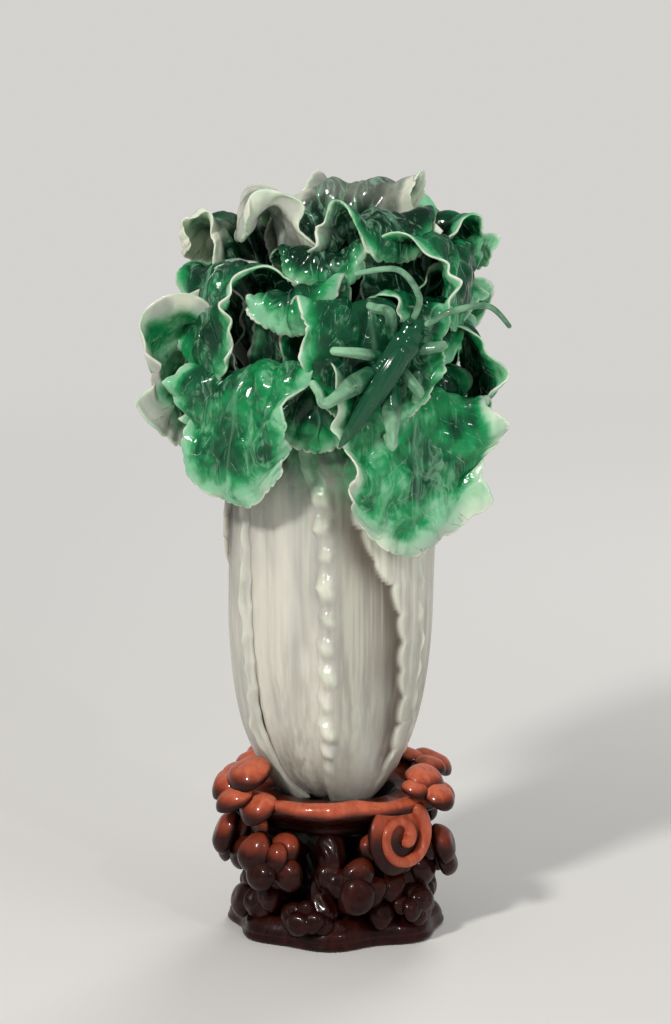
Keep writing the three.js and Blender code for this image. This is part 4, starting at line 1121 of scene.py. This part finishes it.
def spun(shares, radius, height, low, rows, sides, lobes, twist=0.0, relief=None):
    """Rings from a profile of shares of a radius and a height, on a lobed outline that turns as it rises."""
    profile, _ = spline(shares, np.linspace(0, 1, rows))
    reach, rise = profile[:, :1], profile[:, 1:]
    angle = around(sides)
    swell = lobed(angle + twist * rise, lobes)
    if relief is not None:
        swell = swell + relief(angle, rise, reach)
    return stand_point(np.degrees(angle), reach * radius * swell, low + rise * height)


def lip_relief(angle, rise, reach):
    """The seat's lip, waved along its top, and the hollow moulding under it."""
    waved = 0.02 * np.cos(11 * angle + 2 * np.sin(3 * angle)) * smooth(0.5, 0.8, rise)
    return waved - 0.11 * bell((rise - 0.36) / 0.2) * smooth(0.6, 0.9, reach)


def bark_relief(angle, rise, _reach):
    """The trunk's uneven bark."""
    return 0.05 * wobble(9 * angle + 8 * rise, 2)


def socket_rings(sides, rows):
    """The inside of the socket: the underside of the stalk, grown by half its wall and the clearance, from
    the seat's face down to its floor."""
    leaf = OUTER_LEAVES["leaf_left"]
    face = SEAT_BOTTOM + SEAT_FACE_SHARE * SEAT_THICKNESS
    rim = np.interp(face - CARVING_BASE, leaf.spine[:, 1] - leaf.ways[:, 0] * STALK_WALL / 2, leaf.steps)
    share = np.linspace(rim, 0, rows)[:, None]
    angle = around(sides)
    radius, height = leaf.at(leaf.spine, share)
    way_x, way_y = leaf.at(leaf.ways, share)
    over = np.stack(np.broadcast_arrays(np.cos(angle), np.sin(angle) * DEPTH_SHARE, 0 * share), axis=-1)
    up = np.stack([np.sin(angle) * way_x, -np.cos(angle) * way_x * DEPTH_SHARE, way_y + 0 * angle], axis=-1)
    middle = [np.sin(angle) * radius, -np.cos(angle) * radius * DEPTH_SHARE, height + 0 * angle]
    points = np.stack(middle, axis=-1) + unit(np.cross(over, up)) * (STALK_WALL / 2 + SOCKET_CLEARANCE)
    points = points + (0, 0, CARVING_BASE)
    points[0, :, 2] = face
    return points


def seat_rings(sides):
    """The seat's rings: up its outside, whose top swings a little up and down, over the lip and down the
    socket to the middle of its floor."""
    size = (SEAT_RADIUS, SEAT_THICKNESS, SEAT_BOTTOM)
    outer = spun(SEAT_SHARES, *size, 90, sides, SEAT_LOBES, relief=lip_relief)
    angle = around(sides)
    rise = (outer[..., 2] - SEAT_BOTTOM) / SEAT_THICKNESS
    swing = np.sin(3 * angle + 1.2) + 0.6 * np.sin(5 * angle + 2) + 0.4 * np.sin(8 * angle)
    outer[..., 2] += SEAT_SWING * swing * smooth(0.4, 0.9, rise)
    socket = socket_rings(sides, 30)
    floor = socket[-1:] * (SOCKET_FLOOR_SHARE, SOCKET_FLOOR_SHARE, 1)
    return np.concatenate([outer, socket, floor, socket[-1:] * (0, 0, 1)])


# Materials

# Noises: the share by which a pattern is drawn out upwards, scale, detail, roughness and distortion
JADE_NOISES = {
    "cloud": (1, 48, 3, 0.5, 0.8),
    "patch": (1, 120, 4, 0.55, 1),
    "wisp": (0.4, 210, 3, 0.6, 2),
    "streak": (0.06, 110, 3, 0.45, 0.3),
    "broad": (0.25, 60, 3, 0.5, 0.4),
    "band": (0.2, 42, 3, 0.5, 0.5),
    "fine": (0.03, 620, 2, 0.5, 0.2),
    "scratch": (0.5, 420, 2, 0.5, 0.5),
}
KATYDID_NOISES = {"cloud": (1, 160, 4, 0.6, 0.8)}
WOOD_NOISES = {
    "grain": (0.12, 420, 4, 0.6, 0.3),
    "cloud": (1, 90, 3, 0.5, 0.5),
    "pores": (0.2, 1500, 2, 0.5, 0),
}


# Which sockets of a mix node hold its two colours, and which one gives the mixed colour
MIX_COLOURS = (6, 7)
MIX_RESULT = 2


class Socket:
    """A node's output. Arithmetic on it adds the Math nodes that work the expression out."""

    def __init__(self, tree, link):
        self.tree = tree
        self.link = link

    def math(self, operation, *values):
        return self.tree.node("ShaderNodeMath", {"operation": operation}, dict(enumerate(values)))

    def __add__(self, other):
        return self.math("ADD", self, other)

    __radd__ = __add__

    def __sub__(self, other):
        return self.math("SUBTRACT", self, other)

    def __rsub__(self, other):
        return self.math("SUBTRACT", other, self)

    def __mul__(self, other):
        return self.math("MULTIPLY", self, other)

    __rmul__ = __mul__

    def zigzag(self, height):
        """Up to a height and down again, over and over."""
        return self.math("PINGPONG", self, height)

    def step(self, low, high):
        """0 up to low, 1 from high on, smooth between."""
        values = {"Value": self, "From Min": low, "From Max": high}
        return self.tree.node("ShaderNodeMapRange", {"interpolation_type": "SMOOTHSTEP"}, values)


class Surface:
    """A material: its nodes, and the one principled shader that they feed."""

    def __init__(self, name, constants):
        self.material = bpy.data.materials.new(name)
        self.material.use_nodes = True
        self.tree = self.material.node_tree
        self.shader = self.tree.nodes["Principled BSDF"]
        for key, value in constants.items():
            self.shader.inputs[key].default_value = value
        self.place = self.node("ShaderNodeTexCoord", {}, {}, "Object")

    def node(self, kind, settings, values, output=0):
        """Adds a node: its settings first, then the values or links of its sockets. Gives an output."""
        made = self.tree.nodes.new(kind)
        for key, value in settings.items():
            setattr(made, key, value)
        for key, value in values.items():
            if isinstance(value, Socket):
                self.tree.links.new(value.link, made.inputs[key])
            else:
                made.inputs[key].default_value = value
        return Socket(self, made.outputs[output])

    def values(self, names):
        """Vertex values of the mesh, under their names."""
        found = [self.node("ShaderNodeAttribute", {"attribute_name": name}, {}, "Fac") for name in names]
        return SimpleNamespace(**dict(zip(names, found)))

    def noises(self, rows):
        """Noises on the object's coordinates, under their names."""
        return SimpleNamespace(**{name: self.noise(*row) for name, row in rows.items()})

    def noise(self, drawn, scale, detail, roughness, distortion):
        """A noise of the object's coordinates, drawn out upwards where drawn is under 1."""
        ways = {0: self.place, 1: (1, 1, drawn)}
        place = self.node("ShaderNodeVectorMath", {"operation": "MULTIPLY"}, ways)
        values = {"Vector": place, "Scale": scale, "Detail": detail}
        values.update({"Roughness": roughness, "Distortion": distortion})
        return self.node("ShaderNodeTexNoise", {}, values, "Fac")

    def blend(self, share, low, high):
        """A colour a share of the way from low to high."""
        values = {0: share}
        for key, colour in zip(MIX_COLOURS, (low, high)):
            values[key] = colour if isinstance(colour, Socket) else (*colour, 1)
        return self.node("ShaderNodeMix", {"data_type": "RGBA"}, values, MIX_RESULT)

    def bump(self, height, depth):
        """A normal that leans with a height, in steps of a depth."""
        return self.node("ShaderNodeBump", {}, {"Height": height, "Distance": depth, "Strength": 1.0})

    def feed(self, links):
        """Joins values to the shader's sockets. Gives the material."""
        for key, value in links.items():
            self.tree.links.new(value.link, self.shader.inputs[key])
        return self.material


def vein_lines(mark, noise):
    """Pale strokes on the blades: a broken line along each side vein, and short strokes between them."""
    line = 1 - mark.place.zigzag(0.5).step(0.0, 0.035)
    stroke = 1 - (mark.place * 5).zigzag(0.5).step(0.0, 0.13)
    line = line * noise.wisp.step(0.42, 0.56)
    return (line + stroke * (noise.patch * 0.5 + noise.wisp * 0.5).step(0.56, 0.6)) * mark.veined


def leaf_colour(jade, mark, noise, line):
    """Emerald in patches from deep to bright, with mint wisps and veins, white where the leaf is pale, and
    an uneven pale rim that is partly the jade's own pale edge and partly painted glow of light through the
    thin jade."""
    colours = bpy.context.scene.jade_colours
    tone = mark.tip * 0.9 + (noise.cloud - 0.5) * 1.9 + (noise.patch - 0.5) * 1.3
    # painted shade: the tone drops deep inside the crown
    tone = tone + mark.key * 0.4 + mark.pale * 0.5 + 0.1 - mark.deep * 0.9
    leaf = jade.blend(tone.step(-0.15, 0.35), colours.leaf_deep, colours.leaf_green)
    leaf = jade.blend(tone.step(0.25, 0.8), leaf, colours.leaf_bright)
    leaf = jade.blend(tone.step(0.7, 1.25) * 0.75, leaf, colours.leaf_mint)
    leaf = jade.blend((noise.wisp * 0.6 + noise.broad * 0.4).step(0.5, 0.66) * 0.45, leaf, colours.leaf_mint)
    leaf = jade.blend(line * 0.5 + mark.vein * 0.2, leaf, colours.leaf_mint)
    white = (mark.pale + mark.tip * (mark.pale + 0.3) + (noise.cloud - 0.5) * 1.2).step(0.45, 1.2)
    veil = jade.blend(noise.broad.step(0.42, 0.6), colours.leaf_white, colours.stalk_grey)
    leaf = jade.blend(white * 0.9, leaf, veil)
    # the rim: partly the jade's own pale edge, partly painted glow of light through the thin edge
    edge = (mark.rim + (noise.patch - 0.5) * 1.1 + (noise.cloud - 0.5) * 1.1).step(0.35, 1.1)
    rim = jade.blend(noise.cloud.step(0.45, 0.6), colours.leaf_rim_and_glow, colours.leaf_white)
    leaf = jade.blend(edge * 0.9, leaf, rim)
    return jade.blend(line * white * 0.6, leaf, colours.leaf_bright)


def stalk_colour(jade, mark, noise):
    """Greyish white with warm and lit streaks drawn out along the stalk, painted shade in the hollows in
    front of overlapping edges, a warmer, darker tint towards its foot, and white on its crimped margins."""
    colours = bpy.context.scene.jade_colours
    stalk = jade.blend(noise.broad.step(0.42, 0.6), colours.stalk_pale, colours.stalk_grey)
    warm = (noise.streak * 0.35 + noise.band * 0.5 + noise.fine * 0.3).step(0.5, 0.74)
    stalk = jade.blend(warm * 0.6, stalk, colours.stalk_streak_and_shade)
    lit = (noise.streak * 0.3 + noise.broad * 0.35 + noise.fine * 0.35).step(0.48, 0.64)
    stalk = jade.blend(lit * 0.45, stalk, colours.leaf_white)
    # painted shade in the hollows in front of overlapping edges, and a warmer, darker tint towards the foot
    shade = (mark.hollow * (noise.fine * 0.8 + 0.6)).step(0.0, 1.0)
    stalk = jade.blend(shade * 0.9, stalk, colours.stalk_streak_and_shade)
    return jade.blend(mark.crimp * 0.75, stalk, colours.leaf_white)


def jade_material(name):
    """Polished jadeite: a pale streaked stalk that turns into emerald leaves on a cloudy border, with fine
    scratches and raised vein lines."""
    constants = {
        "Subsurface Weight": 0.35,
        "Subsurface Radius": (0.4, 1.0, 0.6),
        "Subsurface Scale": 0.003,
        "Specular IOR Level": 0.2,
        "Coat Weight": 0.2,
        "Coat Roughness": 0.03,
    }
    jade = Surface(name, constants)
    mark = jade.values(JADE_VALUES)
    noise = jade.noises(JADE_NOISES)
    line = vein_lines(mark, noise)
    level = mark.green + (noise.cloud - 0.5) * 0.6 + (noise.streak - 0.5) * 0.3
    stalk = stalk_colour(jade, mark, noise)
    colour = jade.blend(level.step(0.1, 0.9), stalk, leaf_colour(jade, mark, noise, line))
    normal = jade.bump(noise.scratch * 0.4 + noise.patch * 0.9 + line * 0.5, 0.0003)
    return jade.feed({"Base Color": colour, "Roughness": noise.patch * 0.14 + 0.03, "Normal": normal})


def katydid_material(name):
    """The katydid's jade: emerald to pale mint, polished."""
    constants = {
        "Subsurface Weight": 0.3,
        "Subsurface Radius": (0.6, 1.0, 0.7),
        "Subsurface Scale": 0.002,
        "Specular IOR Level": 0.3,
        "Coat Weight": 0.35,
        "Coat Roughness": 0.03,
    }
    colours = bpy.context.scene.jade_colours
    jade = Surface(name, constants)
    mark = jade.values(("pale",))
    noise = jade.noises(KATYDID_NOISES)
    share = (mark.pale + (noise.cloud - 0.5) * 0.9).step(0.0, 0.9)
    colour = jade.blend(share, colours.leaf_green, colours.katydid)
    return jade.feed({"Base Color": colour, "Roughness": noise.cloud * 0.15 + 0.08})


def wood_material(name):
    """Waxed red hardwood with a fine grain. Painted shade makes it nearly black deep inside the stand, and
    painted light makes the tops of its knobs lighter, with a painted highlight on the highest, where it is
    glossier too."""
    colours = bpy.context.scene.jade_colours
    wood = Surface(name, {"Specular IOR Level": 0.12, "Coat Roughness": 0.06})
    mark = wood.values(("worn", "deep"))
    noise = wood.noises(WOOD_NOISES)
    grained = (noise.grain * 0.6 + noise.cloud * 0.5).step(0.35, 0.75)
    colour = wood.blend(grained, colours.wood_dark, colours.wood_red)
    # painted light from above on the tops of the knobs
    worn = (mark.worn + (noise.cloud - 0.5) * 0.5).step(0.15, 1.0)
    colour = wood.blend(worn * 0.9, colour, colours.wood_painted_light)
    # painted highlight on the highest tops
    lit = (mark.worn * 0.8 + noise.grain * 0.7).step(0.85, 1.3)
    colour = wood.blend(lit * 0.7, colour, colours.wood_painted_highlight)
    # painted shade: nearly black deep inside the stand
    colour = wood.blend(mark.deep * 0.9, colour, colours.wood_painted_shade)
    normal = wood.bump(noise.grain * 0.7 + noise.pores * 0.3, 0.00018)
    roughness = noise.grain * 0.2 + mark.deep * 0.2 + 0.2
    coat = mark.worn * 0.5 + 0.14
    return wood.feed({"Base Color": colour, "Roughness": roughness, "Coat Weight": coat, "Normal": normal})


def floor_material(name):
    """Pale paper. Past the part it turns into an even backdrop that shines by itself, for rays from the
    camera and for those that gloss or glass sends on, so it throws no light on the part."""
    paper = Surface(name, {"Roughness": 0.9, "Base Color": (0.68, 0.66, 0.63, 1)})
    away = paper.node("ShaderNodeVectorMath", {"operation": "LENGTH"}, {0: paper.place}, "Value")
    kinds = ("Is Camera Ray", "Is Glossy Ray", "Is Transmission Ray")
    camera, glossy, passing = (paper.node("ShaderNodeLightPath", {}, {}, kind) for kind in kinds)
    backdrop = (*bpy.context.scene.jade_stage.backdrop, 1)
    glow = paper.node("ShaderNodeEmission", {}, {"Color": backdrop})
    plain = Socket(paper, paper.shader.outputs[0])
    share = away.step(0.1, 1.0) * (camera + glossy + passing)
    both = paper.node("ShaderNodeMixShader", {}, {0: share, 1: plain, 2: glow})
    paper.tree.links.new(both.link, paper.tree.nodes["Material Output"].inputs["Surface"])
    return paper.material


# Pieces

# The body that each material slot of the record is on, and its material
FINISHES = {
    "stalk_jade": ("carving", "jade", jade_material),
    "green_jade": ("carving", "jade", jade_material),
    "katydid_jade": ("carving", "polished_katydid", katydid_material),
    "carved_hardwood": ("stand", "hardwood", wood_material),
}


def add_piece(name, shells, slot, *nodes):
    """Makes one object from shells, gives it its material, and lets it stand for the CAD nodes."""
    body, finish, make = FINISHES[slot]
    starts = np.cumsum([0] + [len(vertices) for vertices, _, _ in shells])
    vertices = np.concatenate([part for part, _, _ in shells])
    triangles = np.concatenate([part + start for (_, part, _), start in zip(shells, starts)])
    mesh = bpy.data.meshes.new(name)
    mesh.vertices.add(len(vertices))
    mesh.vertices.foreach_set("co", vertices.astype(np.float32).ravel())
    mesh.loops.add(triangles.size)
    mesh.loops.foreach_set("vertex_index", triangles.astype(np.int32).ravel())
    mesh.polygons.add(len(triangles))
    mesh.polygons.foreach_set("loop_start", np.arange(0, triangles.size, 3, dtype=np.int32))
    mesh.update(calc_edges=True)
    mesh.polygons.foreach_set("use_smooth", np.ones(len(triangles), bool))
    for key in shells[0][2]:
        column = np.concatenate([values[key] for _, _, values in shells])
        mesh.attributes.new(key, "FLOAT", "POINT").data.foreach_set("value", column.astype(np.float32))
    mesh.materials.append(bpy.data.materials.get(finish) or make(finish))
    piece = bpy.data.objects.new(name, mesh)
    bpy.context.scene.collection.objects.link(piece)
    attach(piece, body)
    if nodes:
        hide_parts(*nodes)


def carve(node, shells, slot):
    """Makes the carved piece that stands for a CAD node."""
    add_piece(f"{node}_carved", shells, slot, node)


# Settings


def colour_property(name, description, default):
    return FloatVectorProperty(
        name=name, description=description, default=default, subtype="COLOR", size=3, min=0, max=1
    )


class JadeColours(PropertyGroup):
    """Colours of the jade and the wood, as linear light."""

    leaf_deep: colour_property("Leaf deep", "Deepest green inside the leaves", (0.002, 0.022, 0.0095))
    leaf_green: colour_property("Leaf green", "Emerald of the leaves", (0.004, 0.066, 0.026))
    leaf_bright: colour_property("Leaf bright", "Clear bright green", (0.01, 0.25, 0.078))
    leaf_mint: colour_property("Leaf mint", "Mint of the wisps and veins", (0.28, 0.58, 0.37))
    # partly the rims' own colour, partly painted glow through the thin jade
    leaf_rim_and_glow: colour_property("Leaf rim", "Pale green of the rims", (0.5, 0.68, 0.46))
    leaf_white: colour_property("Leaf white", "White of the palest leaves", (0.76, 0.76, 0.63))
    stalk_pale: colour_property("Stalk pale", "Greyish white of the stalk", (0.65, 0.63, 0.55))
    stalk_grey: colour_property("Stalk grey", "Cooler grey in the stalk", (0.43, 0.425, 0.39))
    # the warm streaks, and also the painted shade in the stalk's hollows
    stalk_streak_and_shade: colour_property("Stalk warm", "Warm brown-grey streaks of the stalk", (0.085, 0.064, 0.044))
    katydid: colour_property("Katydid", "Pale green of the katydid's legs", (0.32, 0.58, 0.37))
    wood_dark: colour_property("Wood dark", "Dark grain of the stand", (0.008, 0.002, 0.0015))
    wood_red: colour_property("Wood red", "Reddish brown of the stand", (0.03, 0.0048, 0.0028))
    # painted light: the colour of the tops as if lit from above
    wood_painted_light: colour_property("Wood worn", "Worn knobs of the stand", (0.4, 0.066, 0.027))
    # painted highlight on the highest tops
    wood_painted_highlight: colour_property("Wood lit", "Palest wear on top of the stand", (0.66, 0.17, 0.085))
    # painted shade deep inside the stand
    wood_painted_shade: colour_property("Wood hollow", "Deep hollows of the stand", (0.004, 0.001, 0.0008))


def length_property(name, description, default):
    return FloatProperty(
        name=name, description=description, default=default, min=0, precision=5, unit="LENGTH"
    )


class JadeDetail(PropertyGroup):
    """Depths of the carved detail."""

    scallop_depth: length_property("Scallop depth", "How deep the notches in a leaf's outline are", 0.0011)
    scallop_length: length_property("Scallop length", "Length of one lobe of the outline", 0.0036)
    crinkle_depth: length_property("Crinkle depth", "Height of the small waves along a rim", 0.0014)
    billow_depth: length_property("Billow depth", "Depth of the soft hollows of a blade", 0.0015)
    puff_depth: length_property("Puff depth", "How far a blade puffs out between its side veins", 0.0013)
    rib_height: length_property("Rib height", "Height of a blade's midrib", 0.0003)
    rim_width: length_property("Rim width", "Width of a blade's pale rim", 0.0017)
    tip_width: length_property("Tip width", "Width of the white that fades in from a tip", 0.013)
    knob_height: length_property("Knob height", "Height of the knobs along a stalk's margin", 0.0024)
    tuck_height: length_property("Tuck height", "How far a tucked stalk swells under its neighbours", 0.001)
    overlap_height: length_property("Overlap height", "How high a margin stands on a stalk", 0.0014)
    margin_depth: length_property("Margin depth", "How far a stalk's margin winds in and out", 0.0012)
    flute_depth: length_property("Flute depth", "Depth of the soft flutes of a stalk", 0.0004)


class JadeStage(PropertyGroup):
    """The camera and the lights."""

    distance: length_property("Camera distance", "From the middle of the part", 1.12)
    elevation: FloatProperty(
        name="Camera elevation", description="Above the horizon", default=np.radians(12), subtype="ANGLE"
    )
    key_power: FloatProperty(name="Key power", description="Watts of the main lamp", default=9, min=0)
    spark_power: FloatProperty(name="Spark power", description="Watts of the small lamp", default=1.2, min=0)
    fill_power: FloatProperty(name="Fill power", description="Watts of the fill lamp", default=4, min=0)
    back_power: FloatProperty(name="Back power", description="Watts of the lamp behind", default=5, min=0)
    sky: FloatProperty(name="Sky", description="Strength of the surrounding light", default=0.3, min=0)
    backdrop: colour_property("Backdrop", "Colour behind the floor", (0.66, 0.645, 0.62))


# Operators


class StalkedLeaves(Operator):
    """Add the six outer leaves, each with its stalk"""

    bl_idname = "jade.stalked_leaves"
    bl_label = "Stalked leaves"

    def execute(self, context):
        for node, leaf in OUTER_LEAVES.items():
            carve(node, [leaf_shell(leaf)], "stalk_jade")
        return {"FINISHED"}


class CrownLeaves(Operator):
    """Add the middle and heart leaves of the crown"""

    bl_idname = "jade.crown_leaves"
    bl_label = "Crown leaves"

    def execute(self, context):
        for node, leaf in CROWN_LEAVES.items():
            carve(node, [leaf_shell(leaf)], "green_jade")
        return {"FINISHED"}


class Folds(Operator):
    """Add the smaller leaves that fill the crown, and the block of jade that they grow from"""

    bl_idname = "jade.folds"
    bl_label = "Folds"

    def execute(self, context):
        for name, leaf in FOLDS.items():
            add_piece(name, [leaf_shell(leaf)], "green_jade")
        points = crown_block()
        tall = height_share(points)
        # painted shade deep inside the crown block
        skin = jade_skin(points, green=smooth(0.42, 0.6, tall), deep=smooth(0.55, 0.65, tall))
        add_piece("crown_block", [skin], "green_jade")
        return {"FINISHED"}


class Core(Operator):
    """Add the block behind the stalks"""

    bl_idname = "jade.core"
    bl_label = "Core"

    def execute(self, context):
        carve("core", [jade_skin(ring_block(CORE_SHARES, 64, 80))], "stalk_jade")
        return {"FINISHED"}


class Katydid(Operator):
    """Add the katydid: its body, legs and antennae"""

    bl_idname = "jade.katydid"
    bl_label = "Katydid"

    def execute(self, context):
        body = jade_skin(body_rings(BODY_SHARES, 48, 160, body_relief), pale=BODY_PALE)
        wings = jade_skin(body_rings(WING_SHARES, 48, 120, wing_relief))
        carve("katydid_body", [body, wings, eye_shell(1), eye_shell(-1)], "katydid_jade")
        for name in LEGS:
            for word, side in (("left", 1), ("right", -1)):
                carve(f"katydid_{name}_leg_{word}", [leg_shell(name, side)], "katydid_jade")
        for word, shares in ANTENNAE.items():
            carve(f"katydid_antenna_{word}", [antenna_shell(shares)], "katydid_jade")
        return {"FINISHED"}


class Seat(Operator):
    """Add the seat with its socket"""

    bl_idname = "jade.seat"
    bl_label = "Seat"

    def execute(self, context):
        points = seat_rings(SEAT_SIDES)
        # painted light: the top of the lip is painted lighter
        worn = 0.9 * smooth(0.62, 0.92, (points[..., 2] - SEAT_BOTTOM) / SEAT_THICKNESS)
        carve("seat", [wood_skin(points, worn)], "carved_hardwood")
        return {"FINISHED"}


class FungusHeads(Operator):
    """Add the fungus heads on their stems, the scroll and the buds"""

    bl_idname = "jade.fungus_heads"
    bl_label = "Fungus heads"

    def execute(self, context):
        for node, head in HEADS.items():
            shells = cluster(head)
            if head.height < STEM_BELOW_SHARE:
                shells.append(stem_shell(head))
            carve(node, shells, "carved_hardwood")
        face = dome_shell(SCROLL_HEAD, dome=0.5, sides=120, rows=90)
        carve("head_scroll", [face, stem_shell(SCROLL_HEAD), scroll_shell()], "carved_hardwood")
        for number in range(BUDS):
            add_piece(f"bud_{number + 1}", bud_shells(number), "carved_hardwood")
        return {"FINISHED"}


class Roots(Operator):
    """Add the roots, the trunk and the foot"""

    bl_idname = "jade.roots"
    bl_label = "Roots, trunk and foot"

    def execute(self, context):
        for number, root in enumerate(ROOTS, start=1):
            carve(f"root_{number}", [root_shell(root, number)], "carved_hardwood")
        low = FOOT_HEIGHT - OVERRUN
        tall = SEAT_BOTTOM + OVERRUN - low
        twist = np.radians(TRUNK_TURN)
        trunk = spun(TRUNK_SHARES, TRUNK_RADIUS, tall, low, 70, 120, TRUNK_LOBES, twist, bark_relief)
        carve("trunk", [wood_skin(trunk, 0.2)], "carved_hardwood")
        foot = spun(FOOT_SHARES, FOOT_RADIUS, FOOT_HEIGHT, 0, 90, 180, FOOT_LOBES)
        foot[..., 2] = np.clip(foot[..., 2], 0, FOOT_HEIGHT)
        carve("foot", [wood_skin(foot, 0.1)], "carved_hardwood")
        return {"FINISHED"}


VIEW_MIDDLE = Vector((-0.0003, 0, 0.1315))
FLOOR_RADIUS = 30
SKY_COLOUR = (0.95, 0.97, 1, 1)

# Of the camera, in millimetres
SENSOR_HEIGHT = 24
FOCAL_LENGTH = 86

# Each lamp's place, size and colour, and whether the polish mirrors it
LAMPS = {
    "key": ((-0.5, -0.75, 0.8), 0.13, (1, 0.98, 0.94), True),
    "spark": ((0.55, -0.9, 0.75), 0.05, (1, 1, 1), True),
    "fill": ((0.9, -0.7, 0.35), 0.7, (0.95, 0.98, 1), False),
    "back": ((0.3, 0.8, 0.7), 0.5, (1, 1, 1), False),
}


def add_lamp(name, power):
    """A round lamp that faces the part."""
    place, size, colour, mirrored = LAMPS[name]
    light = bpy.data.lights.new(name, "AREA")
    light.shape = "DISK"
    light.size = size
    light.energy = power
    light.color = colour
    lamp = bpy.data.objects.new(name, light)
    lamp.location = place
    lamp.visible_glossy = mirrored
    lamp.rotation_euler = (VIEW_MIDDLE - Vector(place)).to_track_quat("-Z", "Y").to_euler()
    bpy.context.scene.collection.objects.link(lamp)


def add_sky(strength):
    """Even light from all sides."""
    world = bpy.data.worlds.new("studio")
    world.use_nodes = True
    sky = world.node_tree.nodes["Background"]
    sky.inputs["Color"].default_value = SKY_COLOUR
    sky.inputs["Strength"].default_value = strength
    bpy.context.scene.world = world


def add_camera(distance, elevation):
    """A camera in front of the part, that looks at its middle from an angle above the horizon."""
    camera = bpy.data.cameras.new("camera")
    camera.sensor_fit = "VERTICAL"
    camera.sensor_height = SENSOR_HEIGHT
    camera.lens = FOCAL_LENGTH
    holder = bpy.data.objects.new("camera", camera)
    way = Vector((0, -np.cos(elevation), np.sin(elevation)))
    holder.location = VIEW_MIDDLE + distance * way
    holder.rotation_euler = (-way).to_track_quat("-Z", "Y").to_euler()
    bpy.context.scene.collection.objects.link(holder)
    bpy.context.scene.camera = holder


class Stage(Operator):
    """Add the floor, the lamps and the camera"""

    bl_idname = "jade.stage"
    bl_label = "Stage"

    def execute(self, context):
        settings = context.scene.jade_stage
        bpy.ops.mesh.primitive_circle_add(vertices=64, radius=FLOOR_RADIUS, fill_type="NGON")
        floor = context.object
        floor.name = "floor"
        floor.data.materials.append(floor_material("floor_paper"))
        add_lamp("key", settings.key_power)
        add_lamp("spark", settings.spark_power)
        add_lamp("fill", settings.fill_power)
        add_lamp("back", settings.back_power)
        add_sky(settings.sky)
        add_camera(settings.distance, settings.elevation)
        context.scene.view_settings.view_transform = "Standard"
        return {"FINISHED"}


PIECES = (StalkedLeaves, CrownLeaves, Folds, Core, Katydid, Seat, FungusHeads, Roots, Stage)


class JadePanel(Panel):
    """The settings and the pieces, in the order they are made"""

    bl_idname = "VIEW3D_PT_jade_cabbage"
    bl_label = "Jade Cabbage"
    bl_space_type = "VIEW_3D"
    bl_region_type = "UI"
    bl_category = "Jade Cabbage"

    def draw(self, context):
        layout = self.layout
        for group in (context.scene.jade_detail, context.scene.jade_colours, context.scene.jade_stage):
            column = layout.column(align=True)
            for key in group.bl_rna.properties.keys():
                if key not in ("rna_type", "name"):
                    column.prop(group, key)
        for piece in PIECES:
            layout.operator(piece.bl_idname)


CLASSES = (JadeColours, JadeDetail, JadeStage, *PIECES, JadePanel)
SETTINGS = {"jade_colours": JadeColours, "jade_detail": JadeDetail, "jade_stage": JadeStage}


def register():
    for made in CLASSES:
        bpy.utils.register_class(made)
    for name, group in SETTINGS.items():
        setattr(bpy.types.Scene, name, PointerProperty(type=group))


def unregister():
    for name in SETTINGS:
        delattr(bpy.types.Scene, name)
    for made in reversed(CLASSES):
        bpy.utils.unregister_class(made)


def main():
    register()
    bpy.ops.jade.stalked_leaves()
    bpy.ops.jade.crown_leaves()
    bpy.ops.jade.folds()
    bpy.ops.jade.core()
    bpy.ops.jade.katydid()
    bpy.ops.jade.seat()
    bpy.ops.jade.fungus_heads()
    bpy.ops.jade.roots()
    bpy.ops.jade.stage()


if __name__ == "__main__":
    main()
